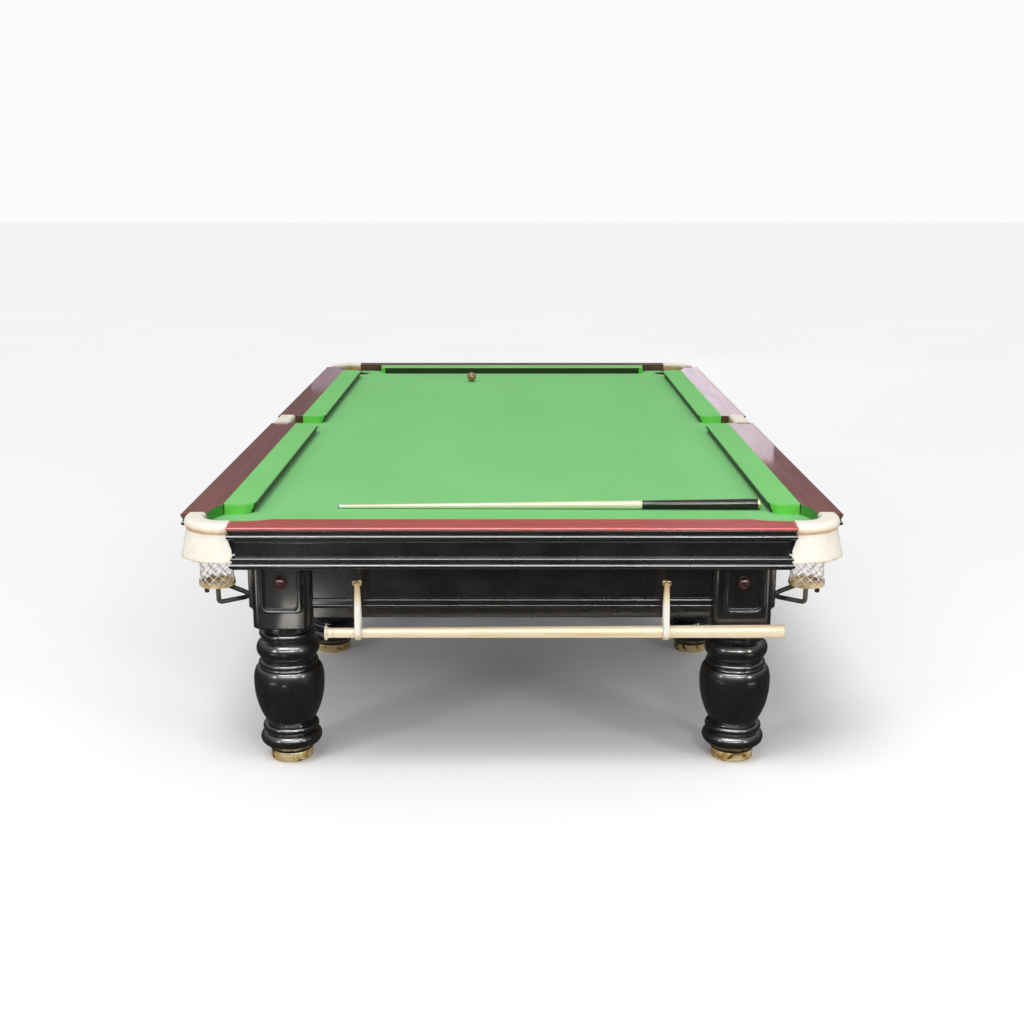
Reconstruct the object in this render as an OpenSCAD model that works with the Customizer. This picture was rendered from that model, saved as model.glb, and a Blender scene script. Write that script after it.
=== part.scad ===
// Full-size snooker table with eight turned legs, in millimetres, +Z up.
// The origin is on the floor under the middle of the table. X runs across the table, Y along it.
// Pieces of the front left quarter are drawn in their own coordinates: p is the distance in from
// the left outer face, q the distance in from the front outer face. Mirrors give the other quarters.

/* [Table] */
// Overall width across the wooden rails
table_w = 2222; // [2100:1:2400]
// Overall length over the wooden rails
table_l = 4013; // [3800:1:4200]
// Height of the rail tops above the floor
rail_top_z = 860; // [845:1:880]
// Height of the cushion and the rail above the bed cloth
rail_h = 37; // [34:1:42]
// Thickness of the bed cloth
cloth_t = 2; // [1:0.5:3]
// Thickness of the slate slabs
slate_t = 45; // [30:1:50]

/* [Rails and cushions] */
// Width of the polished wooden rail
rail_w = 116; // [100:1:130]
// Width of the cushion from the rail to its nose
cushion_w = 106; // [70:1:120]
// Depth of the rail's lip that covers the top of the apron
rail_lip_t = 8; // [6:0.5:12]
// Radius of the rail's outer top edge
rail_edge_r = 6; // [3:0.5:6]
// Radius of the cushion's nose
nose_r = 5; // [3:0.5:7]
// How far the foot of the cushion stands back from its nose
nose_undercut = 30; // [15:1:40]
// Radius of the curved jaw at each end of a cushion's nose
jaw_r = 48; // [30:1:60]

/* [Apron] */
// Thickness of the moulded apron at its back
apron_t = 40; // [34:1:48]
// Height of the apron
apron_h = 136; // [120:1:150]

/* [Corner pockets] */
// Distance of a corner pocket's centre from the two outer faces
corner_in = 172; // [160:1:185]
// Radius of a corner pocket
corner_r = 86; // [70:1:95]
// Distance from the corner at which the wooden rails and aprons end
rail_end = 190; // [185:1:205]
// Distance from the corner at which the cushion's end stands
jaw_in = 325; // [300:1:345]
// Radial width of the leather roll round a corner pocket
leather_w = 66; // [50:1:72]

/* [Middle pockets] */
// Distance of a middle pocket's centre from the outer face
middle_in = 145; // [135:1:150]
// Radius of a middle pocket
middle_r = 62; // [52:1:66]
// Clear length between the wooden rails at a middle pocket
middle_gap = 190; // [176:1:200]
// Distance of a middle pocket's leather roll from the outer face
middle_leather_in = 6; // [0:1:12]
// Width of the straight leather roll at a middle pocket
middle_leather_w = 76; // [56:1:80]
// Radius of the top of the skirt under it
middle_skirt_r = 119; // [105:1:122]

/* [Leather and nets] */
// How far the leather rolls stand above the rails
leather_proud = 6; // [2:1:10]
// Height of a leather roll
leather_h = 41; // [36:1:46]
// Height of the leather skirt below a roll
skirt_h = 90; // [80:1:120]
// Thickness of the skirt
skirt_t = 4; // [2:0.5:6]
// How far the skirt's hem stands out past its top
skirt_flare = 21; // [5:1:26]
// Outer radius of a hanging net
net_r = 58; // [48:1:62]
// Thickness of a net's wall
net_t = 3; // [2:0.5:4]
// Depth of a net's foot below the slates
net_drop = 150; // [130:1:170]
// Distance of a corner net's centre from the side face of the table
net_p = 122; // [115:1:135]
// Distance of a corner net's centre from the end face of the table
net_q = 150; // [135:1:160]
// Distance of a middle net's centre from the side face of the table
middle_net_p = 118; // [112:1:130]
// Height of the leather band round the foot of a net
net_band_h = 15; // [10:1:22]
// Diameter of the black rods that carry the nets
bracket_d = 16; // [10:1:18]
// Depth of the bracket's arms below a net's foot
arm_drop = 48; // [40:1:60]

/* [Legs] */
// Distance of a leg's axis from the side face of the table
leg_in = 346; // [335:1:360]
// Distance of an end leg's axis from the end face of the table
end_leg_in = 172; // [165:1:185]
// Distance of an inner leg's axis from the end face of the table
inner_leg_in = 1265; // [1200:1:1350]
// Side of the square block at the top of a leg
block_w = 198; // [180:1:200]
// Radius of the block's upright edges
block_edge_r = 26; // [15:1:30]
// Height over which the lathe has rounded the block's lower corners
shoulder_h = 20; // [12:1:36]
// Height of the block's lower end above the floor
block_low_z = 490; // [480:1:500]
// Width of the moulded panel on a block
panel_w = 146; // [130:1:150]
// Width of the panel's moulding
panel_rim = 22; // [16:1:26]
// How far the panel's moulding stands out
panel_proud = 15; // [5:1:18]
// Radius of the panel's lower corners
panel_corner_r = 20; // [12:1:28]
// Largest radius of the leg's vase
vase_r = 120; // [112:1:124]
// Radius of the vase's narrow foot
vase_foot_r = 79; // [74:1:88]
// Radius of the large ring below the block
ring_r = 107; // [102:1:112]
// Radius of the large ring above the brass foot
low_ring_r = 105; // [98:1:110]
// Radius of the turned foot where it meets the brass
ankle_r = 74; // [72:1:80]

/* [Feet] */
// Radius of the brass levelling foot
foot_r = 71.5; // [60:0.5:76]
// Height of the brass foot
foot_h = 34; // [28:1:40]
// Diameter of the foot's steel spindle
spindle_d = 24; // [16:1:30]
// Length of spindle inside the leg
spindle_l = 70; // [50:1:90]

/* [Underframe] */
// Distance of the end frame rail's front face from the end of the table
end_rail_in = 110; // [100:1:120]
// Distance of the side frame rail's outer face from the side of the table
side_rail_in = 285; // [275:1:300]
// Thickness of the frame rails
frame_t = 42; // [34:1:50]
// Height of the frame rails' lower edge above the floor
frame_low_z = 522; // [510:1:550]
// Thickness of the beams between the legs and along the middle
beam_t = 60; // [45:1:75]
// Height of the beams' lower edge above the floor
beam_low_z = 620; // [600:1:650]
// Diameter of the round bolt caps on the legs
cap_d = 44; // [36:1:50]
// Depth of the bolt caps' centres below the slates
cap_drop = 119; // [90:1:140]

/* [Rest stick and its loops] */
// Distance of each loop from the middle of the table
loop_x = 508; // [440:1:540]
// Distance of the hooks' tips from the end of the table
hook_in = 44; // [40:1:48]
// Depth of the hooks below the apron
hook_drop = 61; // [56:1:70]
// Depth of the stick's axis below the hooks
stick_drop = 165; // [155:1:172]
// Length of the stick
stick_l = 1519; // [1400:1:1560]
// Place of the stick's flanged end, measured from the middle of the table
stick_x = -618; // [-640:1:-600]
// Diameter of the stick at its thin end
stick_d = 33; // [28:1:36]
// Diameter of the stick at its thick end
stick_butt_d = 44; // [38:1:46]
// Width of a loop's strap
strap_w = 20; // [14:1:24]
// Thickness of a loop's strap
strap_t = 7; // [5:0.5:8]

/* [Cue and ball] */
// Length of the cue
cue_l = 1482; // [1420:1:1490]
// Diameter of the cue's tip
cue_tip_d = 13; // [9:0.5:14]
// Diameter of the cue's butt
cue_butt_d = 38; // [27:0.5:42]
// Length of the cue's black butt
butt_l = 413; // [350:1:460]
// Gap between the cue's butt and the right cushion
cue_gap = 20; // [2:1:40]
// Distance of the cue's butt from the front end of the table
cue_in = 399; // [350:1:700]
// Diameter of the ball
ball_d = 52.5; // [50:0.5:60]
// Distance of the ball from the back end of the table
ball_in = 541; // [300:1:1500]
// Place of the ball, measured from the middle line of the table
ball_x = -232; // [-700:1:700]

/* [Hidden] */
$fn = 64;

// Gap between a moving piece and what it runs in or beside
run_gap = 0.3;
// Diameter of the hooks' wire
hook_d = 5;
// Levels of the bed
bed_z = rail_top_z - rail_h;
slate_top_z = bed_z - cloth_t;
slate_low_z = slate_top_z - slate_t;
lip_z = rail_top_z - rail_lip_t;
apron_low_z = lip_z - apron_h;
hook_z = apron_low_z - hook_drop;
// Height of the stick's underside, which rests in the loops
stick_low_z = hook_z - stick_drop - stick_d / 2;
cap_z = slate_low_z - cap_drop;
net_low_z = slate_low_z - net_drop;
nose_in = rail_w + cushion_w;
half_w = table_w / 2;
half_l = table_l / 2;
middle_rail_end = half_l - middle_gap / 2;
// The curve of a pocket's wooden wall runs this far under the cushion's end
wall_run = 12;
wall_end = rail_w + wall_run;
leather_top_z = rail_top_z + leather_proud;
leather_low_z = leather_top_z - leather_h;
skirt_low_z = leather_low_z - skirt_h;
// How far the top of a skirt lies inside the outer edge of its roll
skirt_tuck = 7;
// How far the straight part of a middle notch stops short of the pocket's centre
notch_short = 45;
// Gap between a net's rim and the hole in the slate
hole_gap = 0.3;
// Gap at each end of a beam where it meets another, and between the parts of an end slab
joint_gap = 0.2;
// Sides of a net, which is drawn with flat facets
net_sides = 24;
// Height of the straight bag of a net
bag_h = 80;
// How far the turned part of a leg runs up into its block
block_lap = 6;

// Copies what is drawn for the front left quarter into another one. The signs are those of X and Y.
module quarter(side, end) {
    mirror([side > 0 ? 1 : 0, 0, 0])
        mirror([0, end > 0 ? 1 : 0, 0])
            translate([-half_w, -half_l, 0])
                children();
}

// Swaps p and q, so that what is drawn along a side lies along an end
module along_end() {
    mirror([1, -1, 0])
        children();
}

// A profile drawn in the plane of p and height, run along q from one place to another
module run_along(from, to) {
    translate([0, to, 0])
        rotate([90, 0, 0])
            linear_extrude(height = to - from)
                children();
}

// Points of an arc about a centre, from one angle to another
function arc_points(centre, r, from, to, steps) =
    [for (i = [0 : steps]) let (a = from + (to - from) * i / steps)
        [centre[0] + r * cos(a), centre[1] + r * sin(a)]];

// Points of the curved wall of a corner pocket, from its circle to the end of the cushion
function wall_points() =
    [for (a = [0 : 10 : 90])
        [corner_in - corner_r + (wall_end - corner_in + corner_r) * (1 - cos(a)),
         corner_in + (jaw_in - corner_in) * sin(a)]];

// The open shape of a corner pocket seen from above. The rails are scooped out to it.
module corner_mouth() {
    translate([corner_in, corner_in])
        circle(r = corner_r);
    polygon(concat([[corner_in, corner_in]], wall_points(), [[jaw_in, jaw_in]]));
    polygon([for (pt = concat([[corner_in, corner_in]], wall_points(), [[jaw_in, jaw_in]]))
        [pt[1], pt[0]]]);
}

// Section of the wooden rail: a board with a lip over the apron and a rounded outer edge
module rail_section() {
    polygon(concat(
        [[apron_t, bed_z], [rail_w, bed_z], [rail_w, rail_top_z]],
        arc_points([rail_edge_r, rail_top_z - rail_edge_r], rail_edge_r, 90, 180, 6),
        [[0, lip_z], [apron_t, lip_z]]));
}

module rail_along(from, to) {
    difference() {
        run_along(from, to)
            rail_section();
        translate([0, 0, bed_z - 1])
            linear_extrude(height = rail_h + 2)
                corner_mouth();
    }
}

module side_rail(side, end) {
    color("saddlebrown")
        quarter(side, end)
            rail_along(rail_end, middle_rail_end);
}

module end_rail(end) {
    color("saddlebrown")
        intersection() {
            quarter(-1, end)
                along_end()
                    run_along(rail_end, table_w - rail_end)
                        rail_section();
            difference() {
                translate([-table_w, -table_l, 0])
                    cube([2 * table_w, 2 * table_l, 2 * rail_top_z]);
                for (side = [-1, 1])
                    quarter(side, end)
                        translate([0, 0, bed_z - 1])
                            linear_extrude(height = rail_h + 2)
                                corner_mouth();
            }
        }
}

// Section of the cushion: a flat top, a small round nose and a face that slopes back to the bed
module cushion_section() {
    polygon(concat(
        [[rail_w, bed_z], [rail_w, rail_top_z]],
        arc_points([nose_in - nose_r, rail_top_z - nose_r], nose_r, 90, -30, 6),
        [[nose_in - nose_undercut, bed_z]]));
}

// Plan of a cushion: a strip whose ends turn back in a curved jaw
module cushion_plan(from, to) {
    polygon(concat(
        [[0, from], [nose_in - jaw_r, from]],
        arc_points([nose_in - jaw_r, from + jaw_r], jaw_r, -90, 0, 10),
        arc_points([nose_in - jaw_r, to - jaw_r], jaw_r, 0, 90, 10),
        [[0, to]]));
}

module cushion_along(from, to) {
    intersection() {
        run_along(from, to)
            cushion_section();
        translate([0, 0, bed_z - 1])
            linear_extrude(height = rail_h + 2)
                cushion_plan(from, to);
    }
}

module side_cushion(side, end) {
    color("limegreen")
        quarter(side, end)
            cushion_along(jaw_in, middle_rail_end);
}

module end_cushion(end) {
    color("limegreen")
        quarter(-1, end)
            along_end()
                cushion_along(jaw_in, table_w - jaw_in);
}

// Outline of the apron's mouldings, from the top down: bead, band, torus, cove, flat frieze, rib and
// base. The first number of a point is its depth behind the outer face.
function apron_face() =
    let (top = lip_z, low = apron_low_z, bead_r = 4, band_h = 18, torus_r = 8, step_h = 6,
        cove_r = 11, frieze_in = 22, rib_r = 6, rib_z = low + 34, base_r = 8, base_z = low + 12)
    concat(
        arc_points([bead_r + 2, top - bead_r], bead_r, 90, 270, 6),
        [[bead_r + 2, top - band_h]],
        arc_points([torus_r, top - band_h - torus_r], torus_r, 90, 270, 8),
        [[frieze_in - cove_r, top - band_h - 2 * torus_r],
         [frieze_in - cove_r, top - band_h - 2 * torus_r - step_h]],
        arc_points([frieze_in - cove_r, top - band_h - 2 * torus_r - step_h - cove_r], cove_r, 90, 0, 5),
        [[frieze_in, rib_z + rib_r + 2], [rib_r + 8, rib_z + rib_r]],
        arc_points([rib_r + 8, rib_z], rib_r, 90, 270, 6),
        [[rib_r + 6, rib_z - rib_r], [rib_r + 6, base_z + base_r]],
        arc_points([base_r + 4, base_z], base_r, 90, 270, 8),
        [[base_r + 4, low]]);

module apron_section() {
    polygon(concat([[apron_t, apron_low_z], [apron_t, lip_z]], apron_face()));
}

// An apron from one place to another, with its mouldings returned round both ends
module apron_along(from, to) {
    intersection() {
        run_along(from, to)
            apron_section();
        translate([-1, 0, 0])
            rotate([90, 0, 90])
                linear_extrude(height = apron_t + 2)
                    polygon(concat(
                        [for (pt = apron_face()) [to - pt[0], pt[1]]],
                        [for (i = [len(apron_face()) - 1 : -1 : 0])
                            [from + apron_face()[i][0], apron_face()[i][1]]]));
    }
}

module side_aprons(side) {
    color("#1c1a1a")
        for (end = [-1, 1])
            quarter(side, end)
                apron_along(rail_end, middle_rail_end);
}

module end_apron(end) {
    color("#1c1a1a")
        quarter(-1, end)
            along_end()
                apron_along(rail_end, table_w - rail_end);
}

// The bed seen from above: a slab with a notch at each pocket
module bed_plan() {
    difference() {
        translate([apron_t - half_w, apron_t - half_l])
            square([table_w - 2 * apron_t, table_l - 2 * apron_t]);
        for (side = [0, 1], end = [0, 1])
            mirror([side, 0])
                mirror([0, end])
                    translate([-half_w, -half_l]) {
                        square(rail_end);
                        translate([corner_in, corner_in])
                            circle(r = corner_r);
                    }
        for (side = [0, 1])
            mirror([side, 0])
                translate([-half_w, 0]) {
                    translate([middle_in, 0])
                        circle(r = middle_r);
                    translate([0, -middle_gap / 2])
                        square([middle_in - notch_short, middle_gap]);
                }
    }
}

// One of the five slabs, counted from the front. An end slab is drawn in three parts side by side, so
// that the collision pieces that are made of them follow the round of its pockets.
module slate(index) {
    slab_l = (table_l - 2 * apron_t) / 5;
    parts = (index == 1 || index == 5) ? 3 : 1;
    part_w = table_w / parts;
    color("slategray")
        translate([0, 0, slate_low_z])
            linear_extrude(height = slate_t)
                for (i = [0 : parts - 1])
                    intersection() {
                        bed_plan();
                        translate([-half_w + i * part_w, apron_t - half_l + (index - 1) * slab_l])
                            square([part_w - (i < parts - 1 ? joint_gap : 0), slab_l]);
                    }
}

module bed_cloth() {
    color("green")
        translate([0, 0, slate_top_z])
            linear_extrude(height = cloth_t)
                bed_plan();
}

// Section of a leather roll and its skirt, drawn as distance from the pocket's axis and height
module roll_section(inner, width) {
    edge = 14;
    outer = inner + width;
    mid = leather_low_z + leather_h / 2;
    polygon(concat(
        [[inner, leather_low_z], [inner, leather_top_z - edge]],
        arc_points([inner + edge, leather_top_z - edge], edge, 180, 90, 5),
        arc_points([outer - leather_h / 2, mid], leather_h / 2, 90, -90, 10)));
}

// The top of the skirt runs a little way up into the roll
module skirt_section(top_r) {
    lap_z = leather_low_z + 1;
    polygon([
        [top_r, lap_z], [top_r + skirt_flare, skirt_low_z],
        [top_r + skirt_flare - skirt_t, skirt_low_z], [top_r - skirt_t, lap_z]]);
}

// The leather ends at the rails. The skirt's two free edges slant in the shape given by ends.
module corner_leather(side, end) {
    color("antiquewhite")
        quarter(side, end)
            intersection() {
                translate([corner_in, corner_in, 0])
                    rotate_extrude() {
                        roll_section(corner_r, leather_w);
                        skirt_section(corner_r + leather_w - skirt_tuck);
                    }
                run_along(0, rail_end)
                    leather_reach(rail_end);
                along_end()
                    run_along(0, rail_end)
                        leather_reach(rail_end);
            }
}

// How far a leather and its skirt reach towards a rail that ends at a given place
module leather_reach(end_at) {
    skirt_back = 4;
    polygon([
        [0, skirt_low_z - 1], [end_at - 1, skirt_low_z - 1],
        [end_at - skirt_back, leather_low_z - skirt_back], [end_at, leather_low_z],
        [end_at, leather_top_z + 1], [0, leather_top_z + 1]]);
}

// At a middle pocket the roll runs straight from rail to rail, and the skirt under it is curved
module middle_leather(side) {
    clear_half = middle_gap / 2;
    color("antiquewhite")
        mirror([side > 0 ? 1 : 0, 0, 0])
            translate([-half_w, 0, 0])
                intersection() {
                    union() {
                        translate([middle_in, 0, 0])
                            rotate_extrude()
                                skirt_section(middle_skirt_r);
                        translate([middle_leather_in + middle_leather_w, 0, 0])
                            mirror([1, 0, 0])
                                run_along(-clear_half, clear_half)
                                    roll_section(0, middle_leather_w);
                    }
                    translate([0, -clear_half, skirt_low_z - 1])
                        cube([middle_in - notch_short, middle_gap, leather_h + skirt_h + 2]);
                }
}

// One net: a round top that fills the pocket's hole, a funnel that slants out to the foot, and a straight
// bag with a leather band round its foot. The bag is a solid of its own, below a small gap, so that the
// collision pieces that are made of it follow its round wall.
module net(top_centre, top_r, foot_centre) {
    difference() {
        net_funnel(top_centre, top_r - hole_gap, foot_centre, 0);
        net_funnel(top_centre, top_r - hole_gap, foot_centre, net_t);
    }
    difference() {
        union() {
            net_disc(foot_centre, net_low_z, net_r, bag_h - joint_gap);
            net_disc(foot_centre, net_low_z, net_r + 2, net_band_h);
        }
        net_disc(foot_centre, net_low_z + net_t, net_r - net_t, bag_h);
    }
}

module net_funnel(top_centre, rim_r, foot_centre, inset) {
    funnel_top_z = slate_low_z + 30;
    funnel_low_z = net_low_z + bag_h;
    // Where the net leaves the slate's hole it has shifted this share of its way to the foot, and it
    // has narrowed by as much as it has shifted, so it stays inside the hole
    throat_share = 0.22;
    shift = throat_share * (foot_centre - top_centre);
    throat_r = rim_r - norm(shift) - 0.5;
    // Each length starts this much inside the one above it, so no two of their faces coincide
    tuck = 0.3;
    over = inset > 0 ? 1 : 0;
    net_disc(top_centre, funnel_top_z, rim_r - inset, leather_low_z - hole_gap - funnel_top_z + over);
    hull() {
        net_disc(top_centre, funnel_top_z, rim_r - inset - tuck, 1);
        net_disc(top_centre + shift, slate_low_z, throat_r - inset, 0.5);
    }
    hull() {
        net_disc(top_centre + shift, slate_low_z, throat_r - inset - tuck, 1);
        net_disc(foot_centre, funnel_low_z - over, net_r - inset, 0.5);
    }
}

module net_disc(centre, low, r, height) {
    translate([centre[0], centre[1], low])
        cylinder(r = r, h = height, $fn = net_sides);
}

module corner_net(side, end) {
    color("ivory")
        quarter(side, end)
            net([corner_in, corner_in], corner_r, [net_p, net_q]);
}

module middle_net(side) {
    color("ivory")
        mirror([side > 0 ? 1 : 0, 0, 0])
            translate([-half_w, 0, 0])
                net([middle_in, 0], middle_r, [middle_net_p, 0]);
}

// A straight rod between two points
module rod(from, to, d) {
    run = to - from;
    length = norm(run);
    translate(from)
        rotate([0, acos(run[2] / length), atan2(run[1], run[0])])
            cylinder(d = d, h = length);
}

// A net's forked bracket: two rods leave one root and each turns up under the net's foot. A ball
// a little thicker than the rod fills each bend.
module net_bracket(root, net_centre, spread) {
    arm_z = root[2];
    post_top = net_low_z - run_gap;
    post_r = net_r - bracket_d / 2;
    knuckle_d = bracket_d + 2;
    translate(root)
        sphere(d = knuckle_d);
    for (turn = spread) {
        foot = [net_centre[0] + post_r * cos(turn), net_centre[1] + post_r * sin(turn), arm_z];
        rod(root, foot, bracket_d);
        translate(foot) {
            sphere(d = knuckle_d);
            cylinder(d = bracket_d, h = post_top - arm_z);
        }
    }
}

module net_brackets() {
    arm_z = net_low_z - arm_drop;
    block_face = leg_in - block_w / 2;
    seat_gap = 1;
    mould_step = 8;
    past_leg_axis = 10;
    color("black") {
        for (side = [-1, 1], end = [-1, 1])
            quarter(side, end)
                net_bracket([block_face - bracket_d / 2 - seat_gap, end_leg_in + past_leg_axis, arm_z],
                    [net_p, net_q], [-90, 128]);
        for (side = [0, 1])
            mirror([side, 0, 0])
                translate([-half_w, 0, 0])
                    net_bracket([side_rail_in - mould_step - seat_gap - bracket_d / 2, 0, arm_z],
                        [middle_net_p, 0], [-110, 110]);
    }
}

// Half section of the turned part of a leg. From the brass foot up: a curved ankle, a large ring, a
// bead, the vase, a bead under its shoulder, a large ring, a neck, a bead and the neck below the block.
// Levels of the lower mouldings hang on the foot's height, those of the upper ones on the block's.
function leg_outline() =
    let (low = foot_h, top = block_low_z, low_tube = 24, low_bead = 13, low_bead_r = 96,
        vase_low = low + 99, vase_mid = top - 207, vase_top = top - 155, shoulder_r = 104,
        bead = 11, bead_r = 101, tube = 35, neck_r = 86, top_bead = 12, top_bead_r = 96,
        top_neck_r = 84)
    concat(
        [[0, low], [ankle_r, low], [ankle_r + 4, low + 8], [ankle_r + 14, low + 18]],
        arc_points([low_ring_r - low_tube, low + 43], low_tube, -60, 72, 10),
        arc_points([low_bead_r - low_bead, low + 83], low_bead, -60, 60, 8),
        [[vase_foot_r, vase_low - 1]],
        [for (i = [0 : 12]) let (t = i / 12)
            [vase_foot_r + (vase_r - vase_foot_r) * sin(90 * t),
             vase_low + (vase_mid - vase_low) * t - 10 * sin(180 * t)]],
        [for (i = [1 : 6]) let (t = i / 6)
            [shoulder_r + (vase_r - shoulder_r) * cos(90 * t),
             vase_mid + (vase_top - vase_mid) * sin(90 * t)]],
        [[bead_r - 5, vase_top + 2]],
        arc_points([bead_r - bead, top - 141], bead, -60, 60, 8),
        arc_points([ring_r - tube, top - 90], tube, -55, 55, 12),
        [[neck_r, top - 58], [neck_r, top - 50]],
        arc_points([top_bead_r - top_bead, top - 37], top_bead, -70, 70, 8),
        [[top_neck_r, top - 23], [top_neck_r, top + block_lap]]);

// The moulded panel on one face of a block, drawn on the plane of that face
module panel_mould(height) {
    outer_low = block_low_z + 58;
    low_rim = 18;
    inner_corner_r = panel_corner_r - 8;
    difference() {
        panel_shape(panel_w, outer_low, height, panel_corner_r);
        translate([0, 0, -1])
            panel_shape(panel_w - 2 * panel_rim, outer_low + low_rim, height + 2, inner_corner_r);
    }
}

module panel_shape(width, low, height, corner) {
    linear_extrude(height = height) {
        translate([-width / 2, low + corner])
            square([width, slate_low_z - low - corner]);
        translate([-width / 2 + corner, low])
            square([width - 2 * corner, corner + 1]);
        for (turn = [-1, 1])
            translate([turn * (width / 2 - corner), low + corner])
                circle(r = corner);
    }
}

// A leg on its own axis. Panels are on the faces that look out of the table.
module leg_body(with_end_panel) {
    bore_r = spindle_d / 2 + run_gap;
    bore_spare = 6;
    flat = block_w / 2;
    // Radius of the block's upright edges from the leg's axis, and how much the lathe takes off them
    edge_at = (flat - block_edge_r) * sqrt(2) + block_edge_r;
    edge_cut = 9;
    color("#181616")
        difference() {
            union() {
                rotate_extrude()
                    polygon(concat(leg_outline(), [[0, block_low_z + block_lap]]));
                intersection() {
                    translate([0, 0, block_low_z])
                        linear_extrude(height = slate_low_z - block_low_z)
                            block_plan();
                    rotate_extrude()
                        polygon(concat(
                            [[0, block_low_z]],
                            [for (a = [0 : 15 : 90])
                                [edge_at - edge_cut * (1 - sin(a)),
                                 block_low_z + shoulder_h * (1 - cos(a))]],
                            [[edge_at + 20, block_low_z + 2 * shoulder_h],
                             [edge_at + 20, slate_low_z], [0, slate_low_z]]));
                }
                translate([-flat, 0, 0])
                    rotate([90, 0, -90])
                        panel_mould(panel_proud);
                if (with_end_panel)
                    translate([0, -flat, 0])
                        rotate([90, 0, 0])
                            panel_mould(panel_proud);
            }
            translate([0, 0, foot_h - 1])
                cylinder(r = bore_r, h = spindle_l + 1 + bore_spare);
        }
}

module block_plan() {
    side = block_w - 2 * block_edge_r;
    square([block_w, side], center = true);
    square([side, block_w], center = true);
    for (x = [-1, 1], y = [-1, 1])
        translate([x * side / 2, y * side / 2])
            circle(r = block_edge_r);
}

// Rows of legs are counted from the front
function leg_row_in(row) = (row == 1 || row == 4) ? end_leg_in : inner_leg_in;

module leg(row, side) {
    quarter(side, row > 2 ? 1 : -1)
        translate([leg_in, leg_row_in(row), 0])
            leg_body(row == 1 || row == 4);
}

// A brass foot with a steel spindle that screws into the leg
module foot(row, side) {
    edge = 5;
    color("goldenrod")
        quarter(side, row > 2 ? 1 : -1)
            translate([leg_in, leg_row_in(row), 0])
                rotate_extrude()
                    polygon(concat(
                        [[0, 0]],
                        arc_points([foot_r - edge, edge], edge, -90, 0, 5),
                        arc_points([foot_r - edge, foot_h - edge], edge, 0, 90, 5),
                        [[spindle_d / 2, foot_h], [spindle_d / 2, foot_h + spindle_l], [0, foot_h + spindle_l]]));
}

// Section of a frame rail: a plank with a base moulding, which has a rounded step, a bead and a slope
module frame_section(face_in) {
    step = 8;
    mould_top = frame_low_z + 68;
    bead_r = 4;
    bead_z = mould_top - 26;
    foot_in = face_in - 1;
    polygon(concat(
        [[face_in + frame_t, frame_low_z], [face_in + frame_t, slate_low_z], [face_in, slate_low_z],
         [face_in, mould_top]],
        arc_points([face_in, mould_top - step], step, 90, 180, 5),
        [[face_in - step, bead_z + bead_r + 2]],
        arc_points([face_in - step + bead_r, bead_z], bead_r, 90, 270, 5),
        [[face_in - step + 5, bead_z - bead_r - 2], [foot_in, bead_z - bead_r - 6], [foot_in, frame_low_z]]));
}

module end_frame(end) {
    inner_face = leg_in + block_w / 2;
    quarter(-1, end)
        along_end()
            run_along(inner_face, table_w - inner_face)
                frame_section(end_rail_in);
}

module side_frame(side) {
    half_block = block_w / 2;
    legs_at = [end_leg_in, inner_leg_in, table_l - inner_leg_in, table_l - end_leg_in];
    quarter(side, -1)
        for (i = [0 : 2])
            run_along(legs_at[i] + half_block, legs_at[i + 1] - half_block)
                frame_section(side_rail_in);
}

// The rails of the underframe fit between the legs' blocks
module frame_rails() {
    color("#181616")
        for (turn = [-1, 1]) {
            end_frame(turn);
            side_frame(turn);
        }
}

// Beams across the table at the inner legs, and one along the middle between the end rails
module cross_beams() {
    inner_face = leg_in + block_w / 2;
    beam_h = slate_low_z - beam_low_z;
    back_of_end_rail = end_rail_in + frame_t;
    color("burlywood")
        translate([-half_w, -half_l, beam_low_z]) {
            for (q = [inner_leg_in, table_l - inner_leg_in])
                translate([inner_face, q - beam_t / 2, 0])
                    cube([table_w - 2 * inner_face, beam_t, beam_h]);
            for (span = [
                    [back_of_end_rail, inner_leg_in - beam_t / 2],
                    [inner_leg_in + beam_t / 2, table_l - inner_leg_in - beam_t / 2],
                    [table_l - inner_leg_in + beam_t / 2, table_l - back_of_end_rail]])
                translate([half_w - beam_t / 2, span[0] + joint_gap, 0])
                    cube([beam_t, span[1] - span[0] - 2 * joint_gap, beam_h]);
        }
}

// Turned cap of a leg bolt, drawn on the face of a block
module bolt_cap() {
    collar_h = 8;
    cap_r = cap_d / 2;
    rotate_extrude()
        polygon(concat(
            [[0, 0], [cap_r - 3, 0], [cap_r - 3, collar_h]],
            [for (a = [0 : 15 : 90]) [cap_r * cos(a), collar_h + 18 * sin(a)]]));
}

module bolt_caps() {
    flat = block_w / 2;
    color("darkred")
        for (side = [-1, 1], end = [-1, 1])
            quarter(side, end) {
                for (q = [end_leg_in, inner_leg_in])
                    translate([leg_in - flat, q, cap_z])
                        rotate([0, -90, 0])
                            bolt_cap();
                translate([leg_in, end_leg_in - flat, cap_z])
                    rotate([90, 0, 0])
                        bolt_cap();
            }
}

// A hook's shank leaves the end frame rail beside the strap, a pin runs through the loop's eye and
// its tip turns up
module hook() {
    reach = strap_w / 2 + hook_d;
    tip_h = 12;
    plate_t = 3;
    rod([reach, hook_in, 0], [reach, end_rail_in, 0], hook_d);
    rod([reach + hook_d / 2, hook_in, 0], [-reach - hook_d / 2, hook_in, 0], hook_d);
    rod([-reach, hook_in, 0], [-reach, hook_in, tip_h], hook_d);
    translate([reach, end_rail_in, 0])
        rotate([90, 0, 0])
            cylinder(d = 3 * hook_d, h = plate_t);
}

module hooks() {
    color("goldenrod")
        for (side = [0, 1])
            mirror([side, 0, 0])
                translate([-loop_x, -half_l, hook_z])
                    hook();
}

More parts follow.
